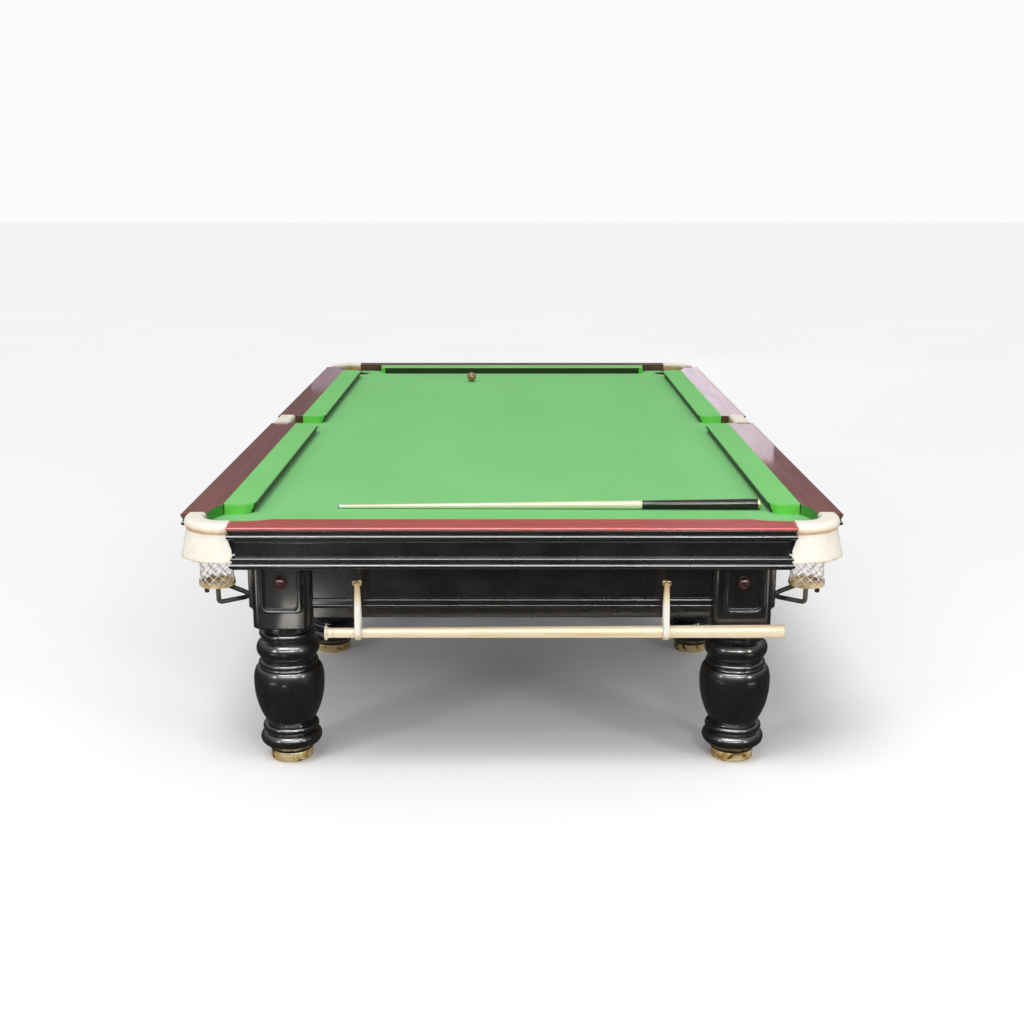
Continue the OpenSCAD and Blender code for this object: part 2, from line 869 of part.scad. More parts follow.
// A strap loop hangs from its hook and goes round the stick, drawn in the plane across the stick
module loop_shape(grow) {
    eye_r = hook_d / 2 + run_gap;
    bow_r = stick_butt_d / 2 + 1;
    bow_centre = stick_low_z - run_gap + bow_r - hook_z;
    polygon(concat(
        arc_points([0, bow_centre], bow_r + grow, 180, 360, 16),
        arc_points([0, 0], eye_r + grow, 0, 180, 8)));
}

module loop(side) {
    color("wheat")
        translate([side * loop_x + strap_w / 2, hook_in - half_l, hook_z])
            rotate([90, 0, -90])
                linear_extrude(height = strap_w)
                    difference() {
                        loop_shape(strap_t);
                        loop_shape(0);
                    }
}

// The stick: a flanged thin end and a long even taper. It lies with its underside level, so that
// it can be drawn through the loops.
module rest_stick() {
    thin_r = stick_d / 2;
    butt_r = stick_butt_d / 2;
    flange_h = 8.5;
    flange_r = thin_r + flange_h;
    taper = asin((butt_r - thin_r) / stick_l);
    color("navajowhite")
        translate([stick_x, hook_in - half_l, stick_low_z + thin_r * cos(taper)])
            rotate([0, 90 - taper, 0])
                rotate_extrude()
                    polygon(concat(
                        [[0, 0], [flange_r - 1, 0], [flange_r, 1], [flange_r, 5]],
                        [for (a = [15 : 15 : 90])
                            [thin_r + flange_h * (1 - sin(a)), 5 + 14 * (1 - cos(a))]],
                        [[thin_r, 26], [thin_r - 1, 27], [thin_r, 28], [butt_r, stick_l - 8],
                         [butt_r - 5, stick_l], [0, stick_l]]));
}

// The cue lies on the cloth, its butt near the right cushion
module cue() {
    tip_r = cue_tip_d / 2;
    butt_r = cue_butt_d / 2;
    turn = -0.55;
    color("burlywood")
        translate([half_w - nose_in - cue_gap, cue_in - half_l, bed_z + butt_r + run_gap])
            rotate([0, 0, turn])
                rotate([0, -90 - asin((butt_r - tip_r) / cue_l), 0])
                    rotate_extrude()
                        polygon([
                            [0, 0], [butt_r - 4, 0], [butt_r - 1, 2], [butt_r, 6], [butt_r, 30],
                            [butt_r * 0.8, butt_l], [tip_r, cue_l - 12], [tip_r, cue_l - 3],
                            [tip_r - 2, cue_l], [0, cue_l]]);
}

module ball() {
    color("ivory")
        translate([ball_x, half_l - ball_in, bed_z + ball_d / 2 + run_gap])
            sphere(d = ball_d);
}

end_rail(-1);  // rail_front
end_rail(1);  // rail_back
side_rail(-1, -1);  // rail_left_front
side_rail(-1, 1);  // rail_left_back
side_rail(1, -1);  // rail_right_front
side_rail(1, 1);  // rail_right_back
end_cushion(-1);  // cushion_front
end_cushion(1);  // cushion_back
side_cushion(-1, -1);  // cushion_left_front
side_cushion(-1, 1);  // cushion_left_back
side_cushion(1, -1);  // cushion_right_front
side_cushion(1, 1);  // cushion_right_back
end_apron(-1);  // apron_front
end_apron(1);  // apron_back
side_aprons(-1);  // apron_left
side_aprons(1);  // apron_right
for (index = [1 : 5])
    slate(index);
bed_cloth();
corner_leather(-1, -1);  // pocket_leather_front_left
corner_leather(1, -1);  // pocket_leather_front_right
corner_leather(-1, 1);  // pocket_leather_back_left
corner_leather(1, 1);  // pocket_leather_back_right
middle_leather(-1);  // pocket_leather_middle_left
middle_leather(1);  // pocket_leather_middle_right
corner_net(-1, -1);  // net_front_left
corner_net(1, -1);  // net_front_right
corner_net(-1, 1);  // net_back_left
corner_net(1, 1);  // net_back_right
middle_net(-1);  // net_middle_left
middle_net(1);  // net_middle_right
net_brackets();
for (row = [1 : 4]) {
    leg(row, -1);
    leg(row, 1);
    foot(row, -1);
    foot(row, 1);
}
frame_rails();
cross_beams();
bolt_caps();
hooks();
loop(-1);  // loop_left
loop(1);  // loop_right
rest_stick();
cue();
ball();
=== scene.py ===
# Full-size snooker table: eight turned black legs on brass feet, slate bed, green cloth,
# mahogany rails, leather pockets with nets, a hanging stick, a cue and one ball.
import math

import bmesh
import bpy
from mathutils import Matrix, Vector, noise


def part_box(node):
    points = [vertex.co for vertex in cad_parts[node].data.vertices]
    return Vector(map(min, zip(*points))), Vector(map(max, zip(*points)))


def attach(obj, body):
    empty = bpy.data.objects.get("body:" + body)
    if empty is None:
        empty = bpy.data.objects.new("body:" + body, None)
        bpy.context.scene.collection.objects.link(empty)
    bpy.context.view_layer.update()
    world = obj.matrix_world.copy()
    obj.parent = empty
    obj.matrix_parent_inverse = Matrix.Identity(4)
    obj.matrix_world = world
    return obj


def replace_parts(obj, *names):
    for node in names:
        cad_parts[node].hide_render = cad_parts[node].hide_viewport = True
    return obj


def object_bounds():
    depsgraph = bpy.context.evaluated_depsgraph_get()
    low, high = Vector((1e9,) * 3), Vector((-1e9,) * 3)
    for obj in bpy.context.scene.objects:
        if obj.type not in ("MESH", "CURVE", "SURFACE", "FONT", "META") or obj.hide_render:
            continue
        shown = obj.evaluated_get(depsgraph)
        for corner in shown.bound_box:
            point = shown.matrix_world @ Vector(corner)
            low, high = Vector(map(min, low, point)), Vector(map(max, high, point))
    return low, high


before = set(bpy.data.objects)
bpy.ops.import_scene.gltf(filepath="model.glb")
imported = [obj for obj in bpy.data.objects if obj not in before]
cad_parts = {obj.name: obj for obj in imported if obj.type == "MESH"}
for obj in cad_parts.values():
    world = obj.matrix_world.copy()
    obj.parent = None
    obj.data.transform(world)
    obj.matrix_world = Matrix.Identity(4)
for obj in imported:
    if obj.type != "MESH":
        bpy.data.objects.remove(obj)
cad_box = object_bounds()


# Brass feet. Each is a turned brass disc with two grooves, screwed into its leg by a steel
# spindle, so that it can be turned down to level the table. The brass is rubbed and stained.
def new_finish(name, colour, roughness, **sockets):
    finish = bpy.data.materials.new(name)
    finish.use_nodes = True
    shader = finish.node_tree.nodes["Principled BSDF"]
    shader.inputs["Base Color"].default_value = (*colour, 1)
    shader.inputs["Roughness"].default_value = roughness
    for socket, value in sockets.items():
        shader.inputs[socket.replace("_", " ")].default_value = value
    return finish


def add_node(finish, kind, *feeds, **values):
    node = finish.node_tree.nodes.new("ShaderNode" + kind)
    for key, value in values.items():
        if key in node.inputs:
            node.inputs[key].default_value = value
        else:
            setattr(node, key, value)
    for socket, output in feeds:
        finish.node_tree.links.new(output, node.inputs[socket])
    return node


def surface_noise(finish, scale, stretch=(1, 1, 1), detail=3, distortion=0):
    place = add_node(finish, "TexCoord").outputs["Object"]
    place = add_node(finish, "Mapping", ("Vector", place), Scale=stretch).outputs["Vector"]
    return add_node(finish, "TexNoise", ("Vector", place), Scale=scale, Detail=detail,
                    Distortion=distortion).outputs["Fac"]


def ramp(finish, value, *stops):
    node = add_node(finish, "ValToRGB", ("Fac", value))
    elements = node.color_ramp.elements
    while len(elements) < len(stops):
        elements.new(0.5)
    for element, (position, colour) in zip(elements, stops):
        element.position = position
        element.color = (*colour, 1) if isinstance(colour, tuple) else (colour, colour, colour, 1)
    return node.outputs["Color"]


def drive(finish, socket, output):
    shader = finish.node_tree.nodes["Principled BSDF"]
    finish.node_tree.links.new(output, shader.inputs[socket])


def tint(finish, value, *stops):
    drive(finish, "Base Color", ramp(finish, value, *stops))


def emboss(finish, height, strength, depth):
    bump = add_node(finish, "Bump", ("Height", height), Strength=strength, Distance=depth)
    drive(finish, "Normal", bump.outputs["Normal"])


def arc(centre_r, centre_z, r, start, end, steps):
    return [(centre_r + r * math.cos(math.radians(start + (end - start) * i / steps)),
             centre_z + r * math.sin(math.radians(start + (end - start) * i / steps)))
            for i in range(steps + 1)]


def turned(outline, steps=72):
    bm = bmesh.new()
    verts = [bm.verts.new((r, 0, z)) for r, z in outline]
    edges = [bm.edges.new(pair) for pair in zip(verts, verts[1:])]
    bmesh.ops.spin(bm, geom=verts + edges, cent=(0, 0, 0), axis=(0, 0, 1), angle=2 * math.pi,
                   steps=steps, use_merge=True)
    bmesh.ops.remove_doubles(bm, verts=bm.verts, dist=1e-6)
    bmesh.ops.recalc_face_normals(bm, faces=bm.faces)
    return bm


def new_piece(name, bm, body, slot, *finishes, smooth=38):
    mesh = bpy.data.meshes.new(name)
    bm.to_mesh(mesh)
    bm.free()
    for finish in finishes:
        mesh.materials.append(finish)
    mesh.shade_smooth()
    mesh.set_sharp_from_angle(angle=math.radians(smooth))
    piece = bpy.data.objects.new(name, mesh)
    bpy.context.scene.collection.objects.link(piece)
    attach(piece, body)
    return piece


side_x = cad_box[1].x
end_y = cad_box[1].y
sides = ((-1, "left"), (1, "right"))
ends = ((-1, "front"), (1, "back"))
leg_in, end_leg_in, inner_leg_in = 0.346, 0.172, 1.265
leg_rows = ((1, end_leg_in - end_y), (2, inner_leg_in - end_y),
            (3, end_y - inner_leg_in), (4, end_y - end_leg_in))
leg_places = {f"{row}_{side}": (sign * (side_x - leg_in), y, row, sign)
              for row, y in leg_rows for sign, side in sides}

worn_brass = new_finish("worn_brass", (0.8, 0.55, 0.2), 0.25, Metallic=0.4)
stain = surface_noise(worn_brass, 26, (1, 1, 1.6), 6, 0.8)
tint(worn_brass, stain, (0.34, (0.07, 0.032, 0.01)), (0.43, (0.75, 0.48, 0.14)), (0.58, (1.0, 0.86, 0.5)))
drive(worn_brass, "Roughness", ramp(worn_brass, stain, (0.35, 0.55), (0.6, 0.2)))
emboss(worn_brass, surface_noise(worn_brass, 90), 0.25, 0.002)
steel = new_finish("spindle_steel", (0.55, 0.55, 0.56), 0.3, Metallic=1.0)
emboss(steel, surface_noise(steel, 60, (1, 1, 12)), 0.3, 0.0005)

foot_r, foot_h, foot_round, groove = 0.0715, 0.034, 0.005, 0.0013
spindle_r, spindle_top = 0.012, 0.104
foot_outline = [(0, 0)] + arc(foot_r - foot_round, foot_round, foot_round, -90, 0, 5)
for z in (0.0095, 0.0215):
    foot_outline += [(foot_r, z), (foot_r - groove, z + 0.001), (foot_r - groove, z + 0.003),
                     (foot_r, z + 0.004)]
foot_outline += arc(foot_r - foot_round, foot_h - foot_round, foot_round, 0, 90, 5)
foot_outline += [(spindle_r, foot_h), (spindle_r, spindle_top - 0.001), (spindle_r - 0.0015, spindle_top),
                 (0, spindle_top)]
for place, (x, y, row, sign) in leg_places.items():
    bm = turned(foot_outline)
    for face in bm.faces:
        face.material_index = 1 if face.calc_center_median().z > foot_h + 0.0005 else 0
    bmesh.ops.translate(bm, verts=bm.verts, vec=(x, y, 0))
    foot = new_piece(f"brass_foot_{place}", bm, f"foot_{place}", "brass", worn_brass, steel)
    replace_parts(foot, f"foot_{place}")


# Legs. The lower part is turned in the lathe: ankle, ring, bead, vase, bead, ring and neck. The
# square block above it has rounded corners and a glued-on moulding round a flat panel. All of it
# is hardwood under black lacquer, polished to a deep gloss.
def black_lacquer(name, stretch, gloss=0.1):
    finish = new_finish(name, (0.008, 0.007, 0.006), 0.3, Coat_Weight=1.0, Coat_Roughness=gloss,
                        Specular_IOR_Level=0.9)
    grain = surface_noise(finish, 14, stretch, 4)
    tint(finish, grain, (0.3, (0.005, 0.0045, 0.004)), (0.7, (0.012, 0.01, 0.008)))
    drive(finish, "Roughness", ramp(finish, surface_noise(finish, 9), (0.3, 0.2), (0.7, 0.36)))
    emboss(finish, surface_noise(finish, 26, detail=2), 0.06, 0.0015)
    return finish


leg_lacquer = black_lacquer("leg_lacquer", (3, 3, 0.5))
block_low, slate_low, block_half, block_round = 0.490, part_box("slate_1")[0].z, 0.099, 0.026
shoulder, corner_cut = 0.020, 0.009
corner_reach = (block_half - block_round) * math.sqrt(2) + block_round
ankle = [(0, foot_h), (0.073, foot_h), (0.074, 0.035), (0.0765, 0.041), (0.081, 0.048), (0.0875, 0.0525)]
ring_and_bead = (arc(0.081, 0.077, 0.024, -60, 74, 16) + arc(0.083, 0.117, 0.013, -56, 62, 12)
                 + [(0.0795, 0.1295), (0.0785, 0.132)])
vase_low, vase_h, shoulder_h = 0.133, 0.15, 0.052
vase = [(0.079 + 0.041 * math.sin(math.pi / 2 * i / 20),
         vase_low + vase_h * i / 20 - 0.01 * math.sin(math.pi * i / 20)) for i in range(21)]
vase += [(0.104 + 0.016 * math.cos(math.pi / 2 * i / 10),
          vase_low + vase_h + shoulder_h * math.sin(math.pi / 2 * i / 10)) for i in range(1, 11)]
upper_rings = ([(0.0975, 0.3355), (0.096, 0.3375)] + arc(0.09, 0.349, 0.011, -62, 62, 12)
               + [(0.0915, 0.3605), (0.091, 0.364)] + arc(0.072, 0.4, 0.035, -56, 56, 20)
               + [(0.0885, 0.4305), (0.086, 0.433), (0.086, 0.44)] + arc(0.084, 0.453, 0.012, -72, 72, 12))
neck = [(0.0845, 0.4665), (0.084, 0.468), (0.084, block_low + 0.006), (0, block_low + 0.006)]
leg_outline = ankle + ring_and_bead + vase + upper_rings + neck


def add_block(bm):
    """A square with rounded corners is extruded upwards, and its lower corners are turned round."""
    made = bmesh.ops.create_grid(bm, x_segments=1, y_segments=1, size=block_half,
                                 matrix=Matrix.Translation((0, 0, block_low)))
    bmesh.ops.bevel(bm, geom=made["verts"], offset=block_round, affect="VERTICES", segments=10, profile=0.5,
                    material=-1, offset_type="OFFSET")
    top = [f for f in bm.faces if abs(f.normal.z) > 0.9 and abs(f.calc_center_median().z - block_low) < 1e-6
           and len(f.verts) > 20]
    for rise in (0.0014, 0.0036, 0.006, 0.009, slate_low - block_low - shoulder):
        made = bmesh.ops.extrude_face_region(bm, geom=top)
        verts = [v for v in made["geom"] if isinstance(v, bmesh.types.BMVert)]
        top = [f for f in made["geom"] if isinstance(f, bmesh.types.BMFace)]
        bmesh.ops.translate(bm, verts=verts, vec=(0, 0, rise))
    for v in bm.verts:
        height = v.co.z - block_low
        reach = math.hypot(v.co.x, v.co.y)
        if -1e-6 < height < shoulder + 1e-6 and reach > 0.09:
            turn = math.acos(max(0.0, 1 - max(height, 0) / shoulder))
            limit = corner_reach - corner_cut * (1 - math.sin(turn))
            if reach > limit:
                v.co.x *= limit / reach
                v.co.y *= limit / reach


def join_into(bm, part, matrix):
    bmesh.ops.transform(part, verts=part.verts, matrix=matrix)
    if matrix.determinant() < 0:
        bmesh.ops.reverse_faces(part, faces=part.faces)
    mesh = bpy.data.meshes.new("part")
    part.to_mesh(mesh)
    part.free()
    bm.from_mesh(mesh)
    bpy.data.meshes.remove(mesh)


def panel_edge(half, low, corner):
    """One edge of a block's moulding, down one side, round two corners and up the other side."""
    side = [(-half, slate_low - 0.001)] + arc(corner - half, low + corner, corner, 180, 270, 8)
    return side + [(-x, z) for x, z in reversed(side)]


moulding_steps = ((0.0003, 0.0040), (0.0014, 0.0024), (0.0014, 0.0004), (0.0008, -0.0020), (0.0006, 0.0002),
                  (0.0008, 0.0048), (0.0014, 0.0034), (0.0016, 0.0012))


def add_panel(bm, turn):
    """The face between a moulding's two edges is inset again and again, and each inset rises or sinks."""
    panel = bmesh.new()
    outline = panel_edge(0.073, 0.548, 0.020) + panel_edge(0.051, 0.566, 0.012)[::-1]
    face = panel.faces.new([panel.verts.new((x, -block_half + 0.0005, z)) for x, z in outline])
    face.normal_update()
    if face.normal.y > 0:
        face.normal_flip()
    for inset, rise in moulding_steps:
        bmesh.ops.inset_region(panel, faces=[face], thickness=inset, depth=rise, use_even_offset=True,
                               use_boundary=True)
    join_into(bm, panel, Matrix.Rotation(turn, 4, "Z"))


for place, (x, y, row, sign) in leg_places.items():
    bm = turned(leg_outline, 80)
    add_block(bm)
    bmesh.ops.recalc_face_normals(bm, faces=bm.faces)
    add_panel(bm, math.radians(90) * sign)
    if row in (1, 4):
        add_panel(bm, 0 if row == 1 else math.pi)
    bmesh.ops.translate(bm, verts=bm.verts, vec=(x, y, 0))
    leg = new_piece(f"turned_leg_{place}", bm, "table", "black_lacquer", leg_lacquer, smooth=32)
    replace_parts(leg, f"leg_{place}")


# Underframe. Planks with a stepped base moulding are bolted between the blocks of the legs, and
# plain sawn beams stiffen the frame between them, below the slates.
def node_copy(node):
    bm = bmesh.new()
    bm.from_mesh(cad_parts[node].data)
    bmesh.ops.remove_doubles(bm, verts=bm.verts, dist=2e-5)
    return bm


def eased_copy(node, edge, sharp=40, segments=2):
    """A copy of a CAD node whose sharp edges are eased with a small round."""
    bm = node_copy(node)
    bmesh.ops.dissolve_limit(bm, angle_limit=math.radians(1.5), verts=bm.verts, edges=bm.edges)
    hard = [e for e in bm.edges if e.is_manifold and e.calc_face_angle() > math.radians(sharp)
            and e.calc_length() > 2.5 * edge]
    bmesh.ops.bevel(bm, geom=hard, offset=edge, segments=segments, profile=0.5, affect="EDGES", material=-1,
                    clamp_overlap=True)
    return bm


def keep_flats(piece):
    """Flat faces are shaded flat and only the eased edges between them are smooth."""
    normals = piece.modifiers.new("flats", "WEIGHTED_NORMAL")
    normals.keep_sharp = True
    normals.weight = 80


def refinish(node, finish):
    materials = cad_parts[node].data.materials
    materials.clear()
    materials.append(finish)


frame_lacquer = black_lacquer("frame_lacquer", (0.5, 0.5, 3), 0.13)
moulded_frame = new_piece("moulded_frame", eased_copy("frame_rails", 0.0008), "table", "black_lacquer",
                          frame_lacquer, smooth=42)
keep_flats(moulded_frame)
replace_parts(moulded_frame, "frame_rails")

sawn_wood = new_finish("sawn_wood", (0.42, 0.28, 0.16), 0.75)
rings = surface_noise(sawn_wood, 9, (1, 1, 8), 6, 1.2)
tint(sawn_wood, rings, (0.3, (0.27, 0.16, 0.08)), (0.55, (0.45, 0.3, 0.17)), (0.75, (0.56, 0.4, 0.25)))
emboss(sawn_wood, surface_noise(sawn_wood, 60, (1, 1, 6), 6), 0.5, 0.001)
refinish("cross_beams", sawn_wood)

# Bolt caps. Small turned knobs under dark red gloss lacquer hide the heads of the leg bolts. Each is
# turned with a groove behind its dome and pressed onto an outward face of a block.
cap_red = new_finish("cap_red", (0.05, 0.01, 0.01), 0.3, Coat_Weight=1.0, Coat_Roughness=0.07)
tint(cap_red, surface_noise(cap_red, 60, detail=4), (0.3, (0.03, 0.006, 0.006)), (0.7, (0.07, 0.016, 0.014)))
cap_z, dome_low, dome_r, dome_h = 0.657, 0.008, 0.022, 0.018
cap_outline = [(0, -0.0005), (0.0195, -0.0005), (0.02, 0.001), (0.0195, 0.003), (0.0175, 0.0045),
               (0.0185, 0.0065), (0.0205, 0.0078)]
cap_outline += [(dome_r * math.cos(math.radians(a)), dome_low + dome_h * math.sin(math.radians(a)))
                for a in range(0, 91, 9)]
caps = bmesh.new()
for place, (x, y, row, sign) in leg_places.items():
    faces_out = [Vector((sign, 0, 0))] + ([Vector((0, -1 if row == 1 else 1, 0))] if row in (1, 4) else [])
    for out in faces_out:
        seat = (Matrix.Translation(Vector((x, y, cap_z)) + out * block_half)
                @ out.to_track_quat("Z", "X").to_matrix().to_4x4())
        join_into(caps, turned(cap_outline, 40), seat)
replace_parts(new_piece("turned_caps", caps, "table", "cap_wood", cap_red), "bolt_caps")


# Slates. Five honed slabs carry the bed. The three with pockets have sawn sides, painted near black
# for the shade round the pockets and under the rails, and their edges round the pockets are rounded,
# so that a ball rolls over the fall instead of dropping off.
slate_stone = new_finish("slate_stone", (0.13, 0.14, 0.15), 0.6)
layers = surface_noise(slate_stone, 5, (1, 1, 14), 7, 0.4)
tint(slate_stone, layers, (0.3, (0.08, 0.088, 0.1)), (0.7, (0.18, 0.19, 0.2)))
emboss(slate_stone, surface_noise(slate_stone, 40, (1, 1, 8), 6), 0.4, 0.0012)
shaded_edge = new_finish("shaded_slate_edge", (0.02, 0.02, 0.021), 0.8, Specular_IOR_Level=0.2)
emboss(shaded_edge, surface_noise(shaded_edge, 90, (1, 1, 3), 4), 0.5, 0.001)
corner_in, corner_r, middle_in, middle_r = 0.172, 0.086, 0.145, 0.062
pocket_circles = [(sx * (side_x - corner_in), sy * (end_y - corner_in), corner_r)
                  for sx in (-1, 1) for sy in (-1, 1)]
pocket_circles += [(sx * (side_x - middle_in), 0, middle_r) for sx in (-1, 1)]


def circle_at(co):
    """The pocket circle on which a point of the slates or the cloth lies, if there is one."""
    slack = 0.0008
    for x, y, r in pocket_circles:
        if abs(math.hypot(co.x - x, co.y - y) - r) < slack:
            return x, y, r
    return None


for name in ("slate_1", "slate_3", "slate_5"):
    bm = node_copy(name)
    bmesh.ops.dissolve_limit(bm, angle_limit=math.radians(1), verts=bm.verts, edges=bm.edges)
    top_z = max(v.co.z for v in bm.verts)
    rim = [e for e in bm.edges if all(abs(v.co.z - top_z) < 1e-5 and circle_at(v.co) for v in e.verts)
           and e.calc_length() < 0.02]
    bmesh.ops.bevel(bm, geom=rim, offset=0.011, segments=4, profile=0.5, affect="EDGES", material=-1,
                    clamp_overlap=False)
    # Upright faces get the near-black finish, painted shade.
    for f in bm.faces:
        f.material_index = 1 if abs(f.normal.z) < 0.3 else 0
    slab = new_piece(f"slab_{name[-1]}", bm, "table", "slate", slate_stone, shaded_edge)
    keep_flats(slab)
    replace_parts(slab, name)
for name in ("slate_2", "slate_4"):
    refinish(name, slate_stone)


# Bed cloth. One sheet of green napped wool is stretched over the slates and pulled down over the
# falls of the pockets, where it is glued. The nap is brushed from the near end to the far end.
def green_cloth(name, light, dark, tone):
    finish = new_finish(name, light, 0.92, Specular_IOR_Level=0.12, Sheen_Weight=0.18, Sheen_Roughness=0.45)
    finish.node_tree.nodes["Principled BSDF"].inputs["Sheen Tint"].default_value = (0.7, 1, 0.7, 1)
    patches = surface_noise(finish, tone, (1, 0.5, 1), 4)
    nap = surface_noise(finish, 520, (1, 0.35, 1), 3)
    both = add_node(finish, "Mix", ("Factor", nap), ("A", patches), ("B", nap), data_type="FLOAT")
    tint(finish, both.outputs["Result"], (0.34, dark), (0.66, light))
    emboss(finish, nap, 0.35, 0.0006)
    return finish


def at_reach(co, x, y, reach, z):
    """The point moved to the given reach from a pocket's centre, in the direction where it lies."""
    grow = reach / math.hypot(co.x - x, co.y - y)
    return Vector((x + (co.x - x) * grow, y + (co.y - y) * grow, z))


def extruded(bm, edges):
    """The new points and the new edges of a row of edges that is extruded."""
    made = bmesh.ops.extrude_edge_only(bm, edges=edges)
    verts = [v for v in made["geom"] if isinstance(v, bmesh.types.BMVert)]
    edges = [e for e in made["geom"]
             if isinstance(e, bmesh.types.BMEdge) and all(v in verts for v in e.verts)]
    return verts, edges


bed_green = green_cloth("bed_green", (0.235, 0.63, 0.225), (0.195, 0.56, 0.19), 2.2)
bm = node_copy("bed_cloth")
bed_z = max(v.co.z for v in bm.verts)
lower = [f for f in bm.faces if min(v.co.z for v in f.verts) < bed_z - 0.0005]
bmesh.ops.delete(bm, geom=lower, context="FACES")
bmesh.ops.dissolve_limit(bm, angle_limit=math.radians(1), verts=bm.verts, edges=bm.edges)
fall, inside, cloth_t, turned_down = 0.013, 0.002, 0.0018, 0.012
rim = [e for e in bm.edges
       if e.is_boundary and all(circle_at(v.co) for v in e.verts) and e.calc_length() < 0.03]
curve = [(fall * (1 - math.sin(math.radians(a))) - inside, -fall * (1 - math.cos(math.radians(a))))
         for a in range(15, 91, 15)] + [(-cloth_t, -fall - turned_down)]
for v in {v for e in rim for v in e.verts}:
    x, y, r = circle_at(v.co)
    v.co = at_reach(v.co, x, y, r + fall - inside, v.co.z)
for out, down in curve:
    verts, rim = extruded(bm, rim)
    for v in verts:
        x, y, r = min(pocket_circles, key=lambda c: math.hypot(v.co.x - c[0], v.co.y - c[1]))
        v.co = at_reach(v.co, x, y, r + out, bed_z + down)
bmesh.ops.recalc_face_normals(bm, faces=bm.faces)
if sum(f.normal.z * f.calc_area() for f in bm.faces) < 0:
    bmesh.ops.reverse_faces(bm, faces=bm.faces)
stretched_cloth = new_piece("stretched_bed_cloth", bm, "table", "bed_cloth", bed_green)
thickness = stretched_cloth.modifiers.new("thickness", "SOLIDIFY")
thickness.thickness = cloth_t
thickness.offset = -1
keep_flats(stretched_cloth)
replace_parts(stretched_cloth, "bed_cloth")


# Wooden rails. Mahogany boards under clear gloss lacquer, one across each end and two along each
# side, with a rounded outer edge and a lip over the apron, bolted down to the slates. The front rail
# is painted lighter and redder than the others for the light that falls on it. The cushions' cloth is
# glued on along their scooped ends at the near corner pockets, painted dark for the shade inside the
# pockets; at the others the wood is bare, painted darker than the rails for the same shade.
def mahogany(name, stretch, dark, mid, light):
    finish = new_finish(name, mid, 0.3, Coat_Weight=1.0, Coat_Roughness=0.05)
    grain = surface_noise(finish, 26, stretch, 6, 0.6)
    tint(finish, grain, (0.25, dark), (0.5, mid), (0.78, light))
    drive(finish, "Roughness", ramp(finish, grain, (0.3, 0.4), (0.7, 0.24)))
    emboss(finish, surface_noise(finish, 120, stretch, 4), 0.04, 0.0006)
    return finish


# The front rail's tones are the side rails' wood painted lighter and redder for the light on the front.
side_tones = ((0.15, 0.026, 0.023), (0.25, 0.047, 0.042), (0.34, 0.068, 0.058))
lit_front_tones = ((0.46, 0.038, 0.03), (0.6, 0.055, 0.045), (0.7, 0.08, 0.06))
lit_front_mahogany = mahogany("lit_front_mahogany", (0.1, 1, 1), *lit_front_tones)
side_mahogany = mahogany("side_mahogany", (1, 0.1, 1), *side_tones)
far_mahogany = mahogany("far_mahogany", (0.1, 1, 1), *side_tones)
shaded_bare_end = mahogany("shaded_bare_end", (1, 1, 0.2), (0.07, 0.03, 0.02), (0.11, 0.05, 0.032), (0.15, 0.07, 0.045))
# A lighter copy of the cloth for the light on the jaws, and a darker copy for the shade on the walls inside
# the near pockets.
lit_jaw_green = green_cloth("lit_jaw_green", (0.24, 0.85, 0.14), (0.16, 0.7, 0.09), 9)
shaded_wall_green = green_cloth("shaded_wall_green", (0.08, 0.42, 0.045), (0.045, 0.26, 0.03), 14)
rail_in, rail_end, cushion_start, middle_half = 0.116, 0.190, 0.325, 0.095
for name in ("front", "back", "left_front", "left_back", "right_front", "right_back"):
    wood = {"front": lit_front_mahogany, "back": far_mahogany}.get(name, side_mahogany)
    bm = eased_copy(f"rail_{name}", 0.0012, 50, 3)
    for f in bm.faces:
        mid = f.calc_center_median()
        p, q = side_x - abs(mid.x), end_y - abs(mid.y)
        scooped = rail_end < max(p, q) < cushion_start and corner_r < min(p, q) < rail_in
        middle_wall = abs(mid.y) < middle_half + 0.015 and abs(f.normal.y) > 0.5
        # Scooped walls at the near pockets get the cloth painted dark for the shade inside the pockets; the
        # other scooped walls and the walls by the middle pockets get the wood painted dark for the same
        # shade.
        if mid.z > bed_z and abs(f.normal.z) < 0.3 and (scooped or middle_wall):
            f.material_index = 1 if scooped and mid.y < 0 else 2
    rail = new_piece(f"polished_rail_{name}", bm, "table", "mahogany", wood, shaded_wall_green, shaded_bare_end)
    keep_flats(rail)
    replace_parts(rail, f"rail_{name}")

# Aprons. Moulded boards under black lacquer close the space below the rails. From the top down they
# have a bead, a torus, a cove, a flat frieze, a rib and a base, and the mouldings return at the ends.
apron_lacquer = black_lacquer("apron_lacquer", (0.6, 0.6, 3), 0.13)
for name in ("front", "back", "left", "right"):
    apron = new_piece(f"moulded_apron_{name}", eased_copy(f"apron_{name}", 0.0006), "table", "black_lacquer",
                      apron_lacquer, smooth=42)
    keep_flats(apron)
    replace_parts(apron, f"apron_{name}")

# Cushions. Strips of rubber with a small nose, covered in the same wool as the bed. The cloth is
# bright on the top, painted lighter round the jaws for the light that falls there, and painted dark
# on the face that slopes back under the nose for the shade there. A dark seam shows where each strip
# ends beside the wood.
cushion_green = green_cloth("cushion_green", (0.22, 0.63, 0.195), (0.18, 0.56, 0.16), 5)
shaded_cloth = green_cloth("shaded_cloth", (0.05, 0.07, 0.035), (0.035, 0.045, 0.022), 9)
seam_dark = new_finish("seam_dark", (0.01, 0.02, 0.01), 0.9)
emboss(seam_dark, surface_noise(seam_dark, 300), 0.3, 0.0005)
nose_in, nose_r, jaw_r, undercut = 0.222, 0.005, 0.048, 0.010
rail_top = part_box("rail_front")[1].z


